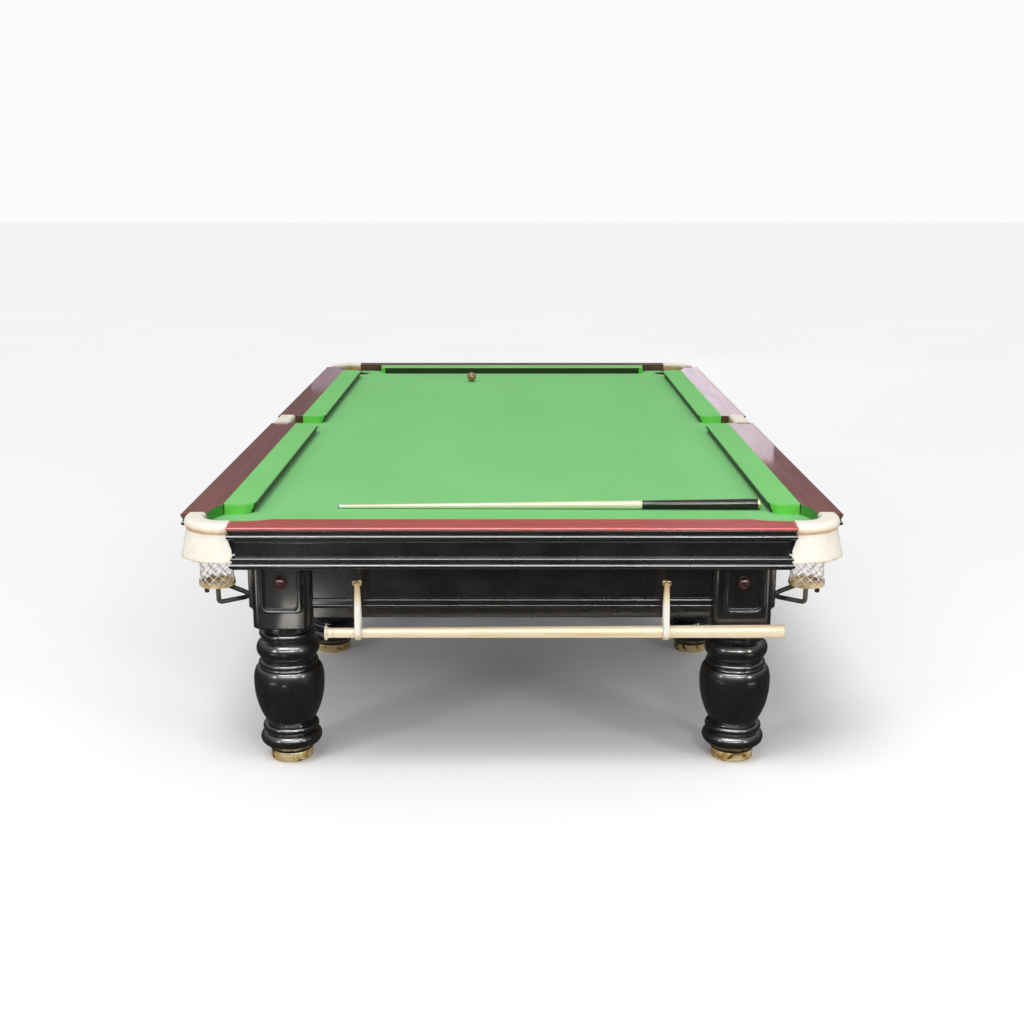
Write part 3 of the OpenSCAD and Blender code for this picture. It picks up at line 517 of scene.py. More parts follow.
def quarter(side, end):
    """Places a part that is drawn with its depth in from the side along X and from the end along Y."""
    return Matrix(((-side, 0, 0, side * side_x), (0, -end, 0, end * end_y), (0, 0, 1, 0), (0, 0, 0, 1)))


def add_box(bm, centre, size):
    place = Matrix.Translation(centre) @ Matrix.Diagonal((*size, 1))
    return bmesh.ops.create_cube(bm, size=1, matrix=place)["verts"]


def cushion_strip(start, end):
    """A cushion drawn with its depth from the outer face along X and its run along Y. Each point keeps
    its place, the way in which its side draws back at the bed and the way in which its nose is rounded."""
    bm = bmesh.new()
    for name in ("lean", "round", "base"):
        bm.verts.layers.float_vector.new(name)
    lean, rounding, base = (bm.verts.layers.float_vector[name] for name in ("lean", "round", "base"))
    jaw_in = nose_in - jaw_r
    plan = [(rail_in, start, (0, 0), 0), (rail_in + 0.02, start, (0, 1), 0.1),
            (jaw_in - 0.01, start, (0, 1), 0.1)]
    for i in range(17):
        a = math.radians(-90 + 90 * i / 16)
        plan.append((jaw_in + jaw_r * math.cos(a), start + jaw_r + jaw_r * math.sin(a),
                     (-math.cos(a), -math.sin(a)), 0.1 + 0.9 * min(1, i / 9) ** 1.5))
    plan += [(x, start + end - y, (nx, -ny), w) for x, y, (nx, ny), w in reversed(plan)]
    ring = []
    for x, y, (nx, ny), w in plan:
        v = bm.verts.new((x, y, bed_z))
        v[lean] = (nx * w, ny * w, 0)
        v[rounding] = (nx, ny, 0)
        v[base] = v.co
        v.co += v[lean] * undercut
        ring.append(v)
    face = bm.faces.new(ring)
    low = rail_top - nose_r * 1.5
    levels = [(bed_z + (low - bed_z) * i / 4, undercut * (1 - i / 4), 0) for i in range(1, 5)]
    levels += [(rail_top - nose_r + nose_r * math.sin(math.radians(a)), 0,
                nose_r * (1 - math.cos(math.radians(a)))) for a in (0, 22, 45, 68, 90)]
    for z, out, back in levels:
        made = bmesh.ops.extrude_face_region(bm, geom=[face])
        face = next(f for f in made["geom"] if isinstance(f, bmesh.types.BMFace))
        for v in face.verts:
            v.co = v[base] + v[lean] * out + v[rounding] * back
            v.co.z = z
    bmesh.ops.recalc_face_normals(bm, faces=bm.faces)
    for f in bm.faces:
        mid = f.calc_center_median()
        jaw = min(mid.y - start, end - mid.y) < jaw_r * 0.55
        if mid.z > rail_top - nose_r * 0.7 or abs(f.normal.z) > 0.9:
            f.material_index = 0
        # Jaw faces get the cloth painted lighter for the light on them; the face under the nose gets the
        # cloth painted dark for its shade.
        elif jaw:
            f.material_index = 1
        elif mid.x > rail_in + 0.03:
            f.material_index = 2
    seam_size = (0.002, 0.0016, rail_top - bed_z - 0.001)
    for y in (start - 0.0002, end + 0.0002):
        seam = add_box(bm, (rail_in + 0.0012, y, (bed_z + rail_top) / 2), seam_size)
        for f in {f for v in seam for f in v.link_faces}:
            f.material_index = 3
    return bm


def lay_cushion(place, strip, matrix):
    bm = bmesh.new()
    join_into(bm, strip, matrix)
    cushion = new_piece(f"cushion_{place}_cloth", bm, "table", "cushion_cloth", cushion_green, lit_jaw_green,
                        shaded_cloth, seam_dark)
    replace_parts(cushion, f"cushion_{place}")


along_end = Matrix(((0, 1, 0, 0), (1, 0, 0, 0), (0, 0, 1, 0), (0, 0, 0, 1)))
for end, end_name in ends:
    end_strip = cushion_strip(cushion_start, 2 * side_x - cushion_start)
    lay_cushion(end_name, end_strip, quarter(-1, end) @ along_end)
    for side, side_name in sides:
        side_strip = cushion_strip(cushion_start, end_y - middle_half)
        lay_cushion(f"{side_name}_{end_name}", side_strip, quarter(side, end))


# Pocket leathers. A padded roll of cream hide bridges the gap between the rails at each pocket, and
# a skirt of thin hide hangs from it, with a scalloped hem. The roll's underside and inner wall are
# painted tan for the shade there, and so is the skirt's top just below the roll; the hem is painted tan too.
cream_hide = new_finish("cream_hide", (0.87, 0.8, 0.66), 0.42, Specular_IOR_Level=0.4)


def rescale(finish, value, lowest, highest, least, most):
    limits = {"From Min": lowest, "From Max": highest, "To Min": least, "To Max": most}
    return add_node(finish, "MapRange", ("Value", value), **limits).outputs["Result"]


def total(finish, first, second):
    return add_node(finish, "Math", (0, first), (1, second), operation="ADD").outputs["Value"]


# The "tan" attribute carries the painted shade on the rolls and the skirts' tops, and the skirts' darker
# hems.
tan = add_node(cream_hide, "Attribute", attribute_name="tan").outputs["Fac"]
blotch = rescale(cream_hide, surface_noise(cream_hide, 30, (1, 1, 1), 5, 0.5), 0.3, 0.7, -0.12, 0.12)
tint(cream_hide, total(cream_hide, tan, blotch), (0.0, (0.94, 0.885, 0.79)), (0.3, (0.88, 0.76, 0.57)),
     (0.65, (0.62, 0.4, 0.19)), (1.0, (0.38, 0.2, 0.08)))
place = add_node(cream_hide, "TexCoord").outputs["Object"]
pores = add_node(cream_hide, "TexVoronoi", ("Vector", place), Scale=420.0).outputs["Distance"]
emboss(cream_hide, pores, 0.25, 0.0006)
thread = new_finish("tan_thread", (0.5, 0.33, 0.16), 0.7)
emboss(thread, surface_noise(thread, 900), 0.4, 0.0004)

roll_top, roll_low, roll_edge = 0.866, 0.825, 0.014


def trim(bm, cut_planes):
    for co, no in cut_planes:
        bmesh.ops.bisect_plane(bm, geom=bm.verts[:] + bm.edges[:] + bm.faces[:], plane_co=co, plane_no=no,
                               clear_outer=True)


def padded_roll(width, spin, straight, cut_planes):
    """A padded roll, spun round a corner pocket or drawn straight past a middle one."""
    bm = bmesh.new()
    darkening_layer = bm.verts.layers.float.new("tan")
    half = (roll_top - roll_low) / 2
    section = [(0, roll_low + 0.001), (0, roll_top - roll_edge - 0.008)]
    section += arc(roll_edge, roll_top - roll_edge, roll_edge, 180, 90, 8)
    section += [(0.022, roll_top - 0.0002), (width - half - 0.006, roll_top - 0.0004)]
    section += arc(width - half, roll_top - half, half, 80, -90, 16)
    section += [(width - half - 0.02, roll_low), (0.01, roll_low)]
    verts = []
    for out, z in section:
        v = bm.verts.new((out, 0, z))
        # The roll's underside is painted darker for its shade, and its inner wall over the pocket darker
        # still.
        lowness = (roll_top - 0.012 - z) / 0.024
        v[darkening_layer] = max(0.0, min(0.85, lowness * 0.75) if out > 0.02 else min(0.7, lowness * 0.8 + 0.25))
        verts.append(v)
    loop = [bm.edges.new(pair) for pair in zip(verts, verts[1:] + verts[:1])]
    if spin:
        centre, inner, first, last = spin
        bmesh.ops.translate(bm, verts=verts, vec=(inner, 0, 0))
        bmesh.ops.rotate(bm, verts=verts, cent=(0, 0, 0), matrix=Matrix.Rotation(math.radians(first), 3, "Z"))
        bmesh.ops.spin(bm, geom=verts + loop, cent=(0, 0, 0), axis=(0, 0, 1),
                       angle=math.radians(last - first), steps=int((last - first) / 3.5))
        bmesh.ops.translate(bm, verts=bm.verts, vec=(*centre, 0))
    else:
        inner, reach = straight
        bmesh.ops.scale(bm, verts=verts, vec=(-1, 1, 1))
        bmesh.ops.translate(bm, verts=verts, vec=(inner, -reach, 0))
        bmesh.ops.spin(bm, geom=verts + loop, cent=(0, 0, 0), axis=(0, 0, 1), dvec=(0, reach / 20, 0),
                       angle=0, steps=40)
    bmesh.ops.remove_doubles(bm, verts=bm.verts, dist=1e-6)
    trim(bm, cut_planes)
    bmesh.ops.holes_fill(bm, edges=[e for e in bm.edges if e.is_boundary])
    bmesh.ops.recalc_face_normals(bm, faces=bm.faces)
    for v in bm.verts:
        wave = noise.noise(v.co * 38) * 0.0011 + noise.noise(v.co * 110) * 0.0004
        clear = all(abs((v.co - Vector(co)).dot(Vector(no))) > 0.003 for co, no in cut_planes)
        if roll_low + 0.004 < v.co.z < roll_top - 0.0005 and clear:
            v.co += v.normal * min(wave, 0.0)
    return bm


skirt_low, skirt_high, skirt_flare, hide_t = 0.735, 0.832, 0.021, 0.002
scallop_w, scallop_h, skirt_rows = 0.018, 0.008, 12


def hung_skirt(top_r, centre, first, last, cut_planes):
    """A thin skirt that flares a little, waves a little and ends in scallops."""
    bm = bmesh.new()
    darkening_layer = bm.verts.layers.float.new("tan")
    verts = []
    for i in range(skirt_rows + 1):
        t = i / skirt_rows
        v = bm.verts.new((top_r - 0.0005 + skirt_flare * t, 0, skirt_high + (skirt_low - skirt_high) * t))
        # The skirt's top just below the roll is painted darker for the shade under the roll; the hem row is
        # darker too.
        v[darkening_layer] = 0.12 - 0.12 * min(1, t * 4) + (0.4 if i == skirt_rows else 0)
        verts.append(v)
    edges = [bm.edges.new(pair) for pair in zip(verts, verts[1:])]
    scallops = round(2 * math.pi * (top_r + skirt_flare) / scallop_w)
    bmesh.ops.rotate(bm, verts=bm.verts, cent=(0, 0, 0), matrix=Matrix.Rotation(math.radians(first), 3, "Z"))
    bmesh.ops.spin(bm, geom=verts + edges, cent=(0, 0, 0), axis=(0, 0, 1), angle=math.radians(last - first),
                   steps=int((last - first) / 360 * scallops * 6))
    bmesh.ops.remove_doubles(bm, verts=bm.verts, dist=1e-6)
    for v in bm.verts:
        a = math.atan2(v.co.y, v.co.x)
        t = (skirt_high - v.co.z) / (skirt_high - skirt_low)
        wave = 0.0011 * math.sin(9 * a + 0.7) * t * t + 0.0006 * math.sin(23 * a) * t
        grow = (math.hypot(v.co.x, v.co.y) - 0.0012 + wave) / math.hypot(v.co.x, v.co.y)
        v.co.x *= grow
        v.co.y *= grow
        if t > 0.9:
            v.co.z += (t - 0.9) * 10 * scallop_h * (1 - abs(math.sin(a * scallops / 2)) ** 0.8)
    bmesh.ops.translate(bm, verts=bm.verts, vec=(*centre, 0))
    trim(bm, cut_planes)
    bmesh.ops.recalc_face_normals(bm, faces=bm.faces)
    return bm


def stitches(spots):
    """A row of short threads, each lying along the direction given with its place."""
    bm = bmesh.new()
    for (x, y), along in spots:
        lie = (Matrix.Translation((x, y, skirt_high - 0.0008)) @ Matrix.Rotation(along, 4, "Z")
               @ Matrix.Diagonal((0.003, 0.0009, 0.0009, 1)))
        bmesh.ops.create_uvsphere(bm, u_segments=6, v_segments=5, radius=1, matrix=lie)
    return bm


def dress_pocket(place, matrix, roll_part, skirt_part, stitch_part):
    bm = bmesh.new()
    join_into(bm, roll_part, matrix)
    roll = new_piece(f"leather_roll_{place}", bm, "table", "cream_leather", cream_hide, smooth=50)
    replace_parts(roll, f"pocket_leather_{place}")
    bm = bmesh.new()
    join_into(bm, skirt_part, matrix)
    bmesh.ops.recalc_face_normals(bm, faces=bm.faces)
    depth = math.hypot(skirt_high - skirt_low, skirt_flare)
    long = sum(f.calc_area() for f in bm.faces) / depth
    skirt = new_piece(f"leather_skirt_{place}", bm, "table", "cream_leather", cream_hide, smooth=60)
    wall = skirt.modifiers.new("hide", "SOLIDIFY")
    wall.thickness = hide_t
    wall.offset = 0
    bm = bmesh.new()
    join_into(bm, stitch_part, matrix)
    new_piece(f"roll_stitches_{place}", bm, "table", "cream_leather", thread)


def middle(side):
    """Places a part of a middle pocket that is drawn with its depth in from the side along X."""
    return Matrix(((-side, 0, 0, side * side_x), (0, 1, 0, 0), (0, 0, 1, 0), (0, 0, 0, 1)))


corner = (corner_in, corner_in)
corner_arc, middle_arc = (160, 290), (118, 242)
corner_roll_w, middle_roll_w, middle_roll_in = 0.066, 0.076, 0.082
corner_skirt_r, middle_skirt_r, skirt_in, skirt_reach = 0.145, 0.119, 0.186, 0.203
corner_cuts = [((rail_end, 0, 0), (1, 0, 0)), ((0, rail_end, 0), (0, 1, 0))]
slant = Vector((1, 0, 0.36)).normalized()
corner_skirt_cuts = [((skirt_in, 0, roll_low), tuple(slant)),
                     ((0, skirt_in, roll_low), (0, slant.x, slant.z)),
                     ((skirt_reach, 0, 0), (1, 0, 0)), ((0, skirt_reach, 0), (0, 1, 0))]
skirt_half = middle_half - 0.0005
middle_skirt_cuts = [((rail_in, 0, 0), (1, 0, 0)), ((0, skirt_half, 0), (0, 1, 0)),
                     ((0, -skirt_half, 0), (0, -1, 0))]
seam_r, seam_in, pitch = 0.1462, 0.0118, 0.0085
corner_spots = [((corner_in + seam_r * math.cos(a), corner_in + seam_r * math.sin(a)), a + math.pi / 2)
                for a in (math.radians(163) + pitch / seam_r * i for i in range(37))]
middle_spots = [((seam_in, pitch * i), math.pi / 2) for i in range(-10, 11)]
for side, side_name in sides:
    for end, end_name in ends:
        dress_pocket(f"{end_name}_{side_name}", quarter(side, end),
                     padded_roll(corner_roll_w, (corner, corner_r, *corner_arc), None, corner_cuts),
                     hung_skirt(corner_skirt_r, corner, *corner_arc, corner_skirt_cuts),
                     stitches(corner_spots))
    dress_pocket(f"middle_{side_name}", middle(side),
                 padded_roll(middle_roll_w, None, (middle_roll_in, middle_half), []),
                 hung_skirt(middle_skirt_r, (middle_in, 0), *middle_arc, middle_skirt_cuts),
                 stitches(middle_spots))


# Nets. White cord knotted in diamonds hangs from a leather collar under each pocket, which is painted dark
# for the shade inside the pocket. The net ends in a disc and a band of tan leather with pointed tabs. A
# potted ball comes to rest on the disc.
net_cord = new_finish("net_cord", (0.86, 0.84, 0.78), 0.85)
tint(net_cord, surface_noise(net_cord, 40, detail=4), (0.3, (0.8, 0.77, 0.69)), (0.6, (0.93, 0.915, 0.87)))
emboss(net_cord, surface_noise(net_cord, 700, detail=2), 0.6, 0.0008)
tan_hide = new_finish("tan_hide", (0.6, 0.42, 0.2), 0.55)
tint(tan_hide, surface_noise(tan_hide, 45, (1, 1, 1), 5, 0.6), (0.3, (0.4, 0.25, 0.1)),
     (0.5, (0.66, 0.48, 0.25)), (0.7, (0.8, 0.66, 0.42)))
emboss(tan_hide, surface_noise(tan_hide, 500), 0.3, 0.0006)
# The collar is painted dark for the shade inside the pocket.
shaded_collar_hide = new_finish("shaded_collar_hide", (0.05, 0.03, 0.018), 0.6)
emboss(shaded_collar_hide, surface_noise(shaded_collar_hide, 400), 0.3, 0.0006)
net_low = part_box("net_front_left")[0].z
net_p, net_q, middle_net_p = 0.122, 0.150, 0.118
throat_z, bag_r, diamonds = 0.742, 0.0562, 11
collar_top, collar_bend, collar_in, collar_t = 0.8115, 0.806, 0.003, 0.0016


def applied(piece):
    graph = bpy.context.evaluated_depsgraph_get()
    mesh = bpy.data.meshes.new_from_object(piece.evaluated_get(graph))
    old = piece.data
    piece.modifiers.clear()
    piece.data = mesh
    bpy.data.meshes.remove(old)
    mesh.shade_smooth()


def circle_edges(bm, segments, r, matrix):
    made = bmesh.ops.create_circle(bm, segments=segments, radius=r, matrix=matrix)
    return list({e for v in made["verts"] for e in v.link_edges})


def bridge_all(bm, loops):
    for a, b in zip(loops, loops[1:]):
        bmesh.ops.bridge_loops(bm, edges=a + b)


def level_rings(bm, segments, rings):
    """Circles that lie level, each with its centre, its height and its radius."""
    return [circle_edges(bm, segments, r, Matrix.Translation(centre + Vector((0, 0, z))))
            for centre, z, r in rings]


def net_piece(name, matrix, top_centre, rim_r, foot_centre):
    """Bands of squares are poked and their first edges dissolved, and cords follow what is left."""
    top, foot = Vector((*top_centre, 0)), Vector((*foot_centre, 0))
    throat = top.lerp(foot, 0.5)
    throat_r = rim_r - (throat - top).length - 0.003
    bm = bmesh.new()
    bag = [(foot, net_low + rise, bag_r) for rise in (0.08, 0.0465, 0.0135)]
    bridge_all(bm, level_rings(bm, diamonds, [(throat, throat_z, throat_r)] + bag))
    crossing = bm.edges[:]
    bmesh.ops.poke(bm, faces=bm.faces[:])
    crossing = [e for e in crossing if e.is_valid and not e.is_boundary]
    bmesh.ops.dissolve_edges(bm, edges=crossing, use_verts=False)
    bmesh.ops.bisect_edges(bm, edges=bm.edges[:], cuts=2)
    bmesh.ops.transform(bm, verts=bm.verts, matrix=matrix)
    bmesh.ops.recalc_face_normals(bm, faces=bm.faces)
    cords = new_piece(f"net_cords_{name}", bm, "table", "net_cord", net_cord)
    wires = cords.modifiers.new("cords", "WIREFRAME")
    wires.thickness = 0.0044
    wires.use_boundary = True
    wires.use_even_offset = False
    soft = cords.modifiers.new("round", "SUBSURF")
    soft.levels = soft.render_levels = 1
    applied(cords)
    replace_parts(cords, f"net_{name}")

    band = turned([(0, 0.0035), (0.056, 0.0035), (0.0565, 0.0135), (0.0598, 0.0145), (0.0605, 0.011),
                   (0.0602, 0.003), (0.0588, 0.0006), (0.05, 0.0002), (0, 0.0012)], 96)
    for v in band.verts:
        if v.co.z > 0.012 and math.hypot(v.co.x, v.co.y) > 0.055:
            v.co.z += 0.009 * (1 - abs(math.sin(6 * math.atan2(v.co.y, v.co.x)))) - 0.002
    bmesh.ops.translate(band, verts=band.verts, vec=foot + Vector((0, 0, net_low)))
    collar = bmesh.new()
    outer, inner = rim_r - collar_in, rim_r - collar_in - collar_t
    loops = level_rings(collar, 64, [(top, collar_top, outer), (top, collar_bend, outer),
                                     (throat, throat_z - 0.002, throat_r + 0.001),
                                     (throat, throat_z - 0.002, throat_r + 0.001 - collar_t),
                                     (top, collar_bend, inner), (top, collar_top, inner)])
    bridge_all(collar, loops + loops[:1])
    bmesh.ops.recalc_face_normals(collar, faces=collar.faces)
    for f in collar.faces:
        f.material_index = 1
    bm = bmesh.new()
    join_into(bm, band, matrix)
    join_into(bm, collar, matrix)
    new_piece(f"net_leather_{name}", bm, "table", "net_cord", tan_hide, shaded_collar_hide, smooth=50)


for side, side_name in sides:
    for end, end_name in ends:
        net_piece(f"{end_name}_{side_name}", quarter(side, end), corner, corner_r, (net_p, net_q))
    net_piece(f"middle_{side_name}", middle(side), (middle_in, 0), middle_r, (middle_net_p, 0))


# Net brackets. At a corner a black rod turns up under the net's foot at one end and rises against it
# at the other, beside a short stud, and a screwed plate holds the rod to the leg. At a middle net
# both ends turn up. The satin paint is rubbed brown in places.
black_rod = new_finish("black_rod", (0.02, 0.019, 0.018), 0.38, Coat_Weight=0.3, Coat_Roughness=0.2)
rub = surface_noise(black_rod, 24, detail=4)
tint(black_rod, rub, (0.4, (0.02, 0.019, 0.017)), (0.62, (0.1, 0.085, 0.065)))
emboss(black_rod, surface_noise(black_rod, 160), 0.25, 0.0006)


def rounded_path(points, radius, steps=8):
    """Points of a path whose inner corners are rounded."""
    points = [Vector(p) for p in points]
    path = [points[0]]
    for before, corner, after in zip(points, points[1:], points[2:]):
        a, b = (before - corner).normalized(), (after - corner).normalized()
        half = a.angle(b) / 2
        cut = min(radius / math.tan(half), 0.48 * (before - corner).length, 0.48 * (after - corner).length)
        start, end = corner + a * cut, corner + b * cut
        for i in range(steps + 1):
            t = i / steps
            path.append((1 - t) ** 2 * start + 2 * t * (1 - t) * corner + t * t * end)
    return path + [points[-1]]


def bent_rod(path, r, segments=16):
    """A round rod along a path, closed at both ends."""
    bm = bmesh.new()
    loops = []
    axis = None
    for i, point in enumerate(path):
        ahead = (path[min(i + 1, len(path) - 1)] - path[max(i - 1, 0)]).normalized()
        if axis is None:
            turn = ahead.to_track_quat("Z", "X")
        else:
            turn = axis.rotation_difference(ahead) @ turn
        axis = ahead
        loops.append(circle_edges(bm, segments, r, Matrix.Translation(point) @ turn.to_matrix().to_4x4()))
    bridge_all(bm, loops)
    rims = [e for e in bm.edges if e.is_boundary]
    bmesh.ops.holes_fill(bm, edges=rims)
    bmesh.ops.bevel(bm, geom=rims, offset=r * 0.18, segments=2, profile=0.5, affect="EDGES", material=-1)
    bmesh.ops.recalc_face_normals(bm, faces=bm.faces)
    return bm


def flat_plate(centre, size, ease):
    bm = bmesh.new()
    add_box(bm, centre, size)
    bmesh.ops.bevel(bm, geom=bm.edges[:], offset=ease, segments=2, profile=0.5, affect="EDGES", material=-1)
    return bm


brackets = bmesh.new()
arm_z, post_top, rod_r, bend_r, post_r = net_low - 0.048, net_low - 0.0002, 0.008, 0.014, 0.05
root_p, root_q, plate_p, plate_q, middle_root_p, middle_plate_p = 0.2385, 0.178, 0.2452, 0.182, 0.268, 0.2755
for side in (-1, 1):
    for end in (-1, 1):
        foot, rest, stub = ((net_p + r * math.cos(math.radians(a)), net_q + r * math.sin(math.radians(a)))
                            for r, a in ((post_r, -76), (0.036, 28), (post_r, 150)))
        bent = rounded_path([(*foot, post_top), (*foot, arm_z), (root_p, root_q, arm_z),
                             (*rest, net_low - 0.0085)], bend_r)
        short = [Vector((*stub, z)) for z in (post_top, net_low - 0.014, net_low - 0.036)]
        plate = flat_plate((plate_p, plate_q, arm_z + 0.004), (0.0036, 0.046, 0.024), 0.0012)
        for q in (plate_q - 0.017, plate_q + 0.017):
            head = (Matrix.Translation((plate_p - 0.0018, q, arm_z + 0.005))
                    @ Matrix.Diagonal((0.002, 0.0045, 0.0045, 1)))
            bmesh.ops.create_uvsphere(plate, u_segments=16, v_segments=8, radius=1, matrix=head)
        for part in (bent_rod(bent, rod_r), bent_rod(short, rod_r), plate):
            join_into(brackets, part, quarter(side, end))
    feet = [(middle_net_p + post_r * math.cos(math.radians(a)), post_r * math.sin(math.radians(a)))
            for a in (-110, 110)]
    fork = rounded_path([(*feet[0], post_top), (*feet[0], arm_z), (middle_root_p, 0, arm_z),
                         (*feet[1], arm_z), (*feet[1], post_top)], bend_r)
    join_into(brackets, bent_rod(fork, rod_r), middle(side))
    join_into(brackets, flat_plate((middle_plate_p, 0, arm_z), (0.003, 0.05, 0.03), 0.001), middle(side))
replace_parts(new_piece("bent_rod_brackets", brackets, "table", "black_iron", black_rod), "net_brackets")


# Hooks. Two eyes of bent brass wire are screwed into the front plank of the underframe, each through
# a small rose that is turned from the same brass.
hook_brass = new_finish("hook_brass", (0.7, 0.5, 0.24), 0.28, Metallic=0.6)
tint(hook_brass, surface_noise(hook_brass, 80), (0.35, (0.4, 0.24, 0.09)), (0.6, (0.9, 0.72, 0.4)))
hook_z, hook_y, plank_y, loop_x = 0.655, 0.044 - end_y, 0.110 - end_y, 0.508
wire_r, half_eye, eye_top, eye_bend = 0.0024, 0.0135, hook_z + 0.0122, 0.006
screw_z = eye_top - 0.022
hooks = bmesh.new()
for side in (-1, 1):
    x = side * loop_x
    wire = rounded_path([(x, plank_y, screw_z), (x, hook_y + 0.014, eye_top), (x, hook_y, eye_top),
                         (x + half_eye, hook_y, eye_top), (x + half_eye, hook_y, hook_z),
                         (x - half_eye, hook_y, hook_z), (x - half_eye, hook_y, eye_top),
                         (x - 0.003, hook_y, eye_top)], eye_bend)
    join_into(hooks, bent_rod(wire, wire_r, 12), Matrix.Identity(4))
    rose = turned([(0, 0), (0.0072, 0), (0.0076, 0.0012), (0.006, 0.0026), (0.0026, 0.0034), (0, 0.0034)], 32)
    seat = Matrix.Translation((x, plank_y, screw_z)) @ Matrix.Rotation(math.radians(90), 4, "X")
    join_into(hooks, rose, seat)
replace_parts(new_piece("wire_hooks", hooks, "table", "hook_brass", hook_brass), "hooks")

# Strap loops. A thick strap of pale leather is sewn into a loop that hangs from each hook and carries
# the stick. It is browner towards both ends.
strap_hide = new_finish("strap_hide", (0.85, 0.8, 0.7), 0.6)
place = add_node(strap_hide, "TexCoord").outputs["Object"]
height = add_node(strap_hide, "SeparateXYZ", ("Vector", place)).outputs["Z"]
height = rescale(strap_hide, height, 0.46, 0.67, 0, 1)
spot = rescale(strap_hide, surface_noise(strap_hide, 60, detail=4), 0, 1, -0.08, 0.08)
tint(strap_hide, total(strap_hide, height, spot), (0.04, (0.62, 0.42, 0.18)), (0.17, (0.88, 0.84, 0.76)),
     (0.58, (0.87, 0.84, 0.76)), (0.72, (0.78, 0.66, 0.44)), (0.92, (0.58, 0.38, 0.18)))
emboss(strap_hide, surface_noise(strap_hide, 350), 0.4, 0.0007)
stick_low, bow_r, eye_r, strap_w, strap_t = 0.4735, 0.0265, 0.0063, 0.02, 0.0064
bow_z = stick_low - 0.0003 + 0.023
ring = (arc(0, bow_z, bow_r, 180, 360, 20) + [(0.021, bow_z + 0.045), (0.0125, bow_z + 0.1)]
        + arc(0, hook_z, eye_r, 0, 180, 10) + [(-0.0125, bow_z + 0.1), (-0.021, bow_z + 0.045)])
for side, side_name in sides:
    x = side * loop_x
    bm = bmesh.new()
    verts = [bm.verts.new((x - strap_w / 2, hook_y + y, z)) for y, z in ring]
    edges = [bm.edges.new(pair) for pair in zip(verts, verts[1:] + verts[:1])]
    for _ in range(4):
        verts, edges = extruded(bm, edges)
        bmesh.ops.translate(bm, verts=verts, vec=(strap_w / 4, 0, 0))
    bmesh.ops.recalc_face_normals(bm, faces=bm.faces)
    for v in bm.verts:
        v.co.x = x + (v.co.x - x) * (0.8 + 0.2 * min(1, max(0, (hook_z - v.co.z) / 0.02)))
    strap = new_piece(f"strap_loop_{side_name}", bm, f"loop_{side_name}", "strap_leather", strap_hide,
                      smooth=60)
    wall = strap.modifiers.new("hide", "SOLIDIFY")
    wall.thickness = strap_t
    wall.offset = 0
    soft = strap.modifiers.new("soft", "SUBSURF")
    soft.levels = soft.render_levels = 2
    applied(strap)
    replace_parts(strap, f"loop_{side_name}")


# Stick. A long ash pole, turned with a flange at its thin end and a ring line beside it, hangs in the
# two straps. It tapers evenly from its thick end on the right.
def ash(name, stretch, light, mid, dark):
    finish = new_finish(name, mid, 0.38, Coat_Weight=0.5, Coat_Roughness=0.12)
    grain = surface_noise(finish, 60, stretch, 6, 0.5)
    tint(finish, grain, (0.28, dark), (0.45, mid), (0.7, light))
    emboss(finish, surface_noise(finish, 240, stretch, 4), 0.2, 0.0004)
    return finish


stick_ash = ash("stick_ash", (0.05, 1, 1), (0.92, 0.82, 0.62), (0.86, 0.71, 0.47), (0.74, 0.55, 0.3))
ring_line = new_finish("ring_line", (0.35, 0.2, 0.08), 0.5)
stick_l, thin_r, thick_r, stick_x = 1.519, 0.0165, 0.022, -0.618
line_low, line_w, line_d = 0.0262, 0.002, 0.0007
shaft_low, shaft_top = line_low + line_w, stick_l - 0.008
taper = math.asin((thick_r - thin_r) / stick_l)
stick_outline = [(0, 0.0004), (0.012, 0), (0.0235, 0), (0.0246, 0.0006), (0.025, 0.002), (0.025, 0.0045),
                 (0.0245, 0.0055)]
stick_outline += [(thin_r + 0.0085 * (1 - math.sin(math.radians(a))),
                   0.005 + 0.014 * (1 - math.cos(math.radians(a)))) for a in range(12, 91, 6)]
stick_outline += [(thin_r, line_low), (thin_r - line_d, line_low + 0.0005),
                  (thin_r - line_d, shaft_low - 0.0005), (thin_r, shaft_low)]
stick_outline += [(thin_r + (thick_r - thin_r) * i / 12, shaft_low + (shaft_top - shaft_low) * i / 12)
                  for i in range(1, 13)]
stick_outline += [(thick_r - 0.001, stick_l - 0.004), (thick_r - 0.0035, stick_l - 0.001),
                  (thick_r - 0.0055, stick_l), (0, stick_l)]
bm = turned(stick_outline, 48)
for f in bm.faces:
    f.material_index = 1 if line_low + 0.0003 < f.calc_center_median().z < shaft_low - 0.0003 else 0
hang = (Matrix.Translation((stick_x, hook_y, stick_low + thin_r * math.cos(taper)))
        @ Matrix.Rotation(math.radians(90) - taper, 4, "Y"))
bmesh.ops.transform(bm, verts=bm.verts, matrix=hang)
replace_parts(new_piece("ash_stick", bm, "rest_stick", "stick_wood", stick_ash, ring_line), "rest_stick")

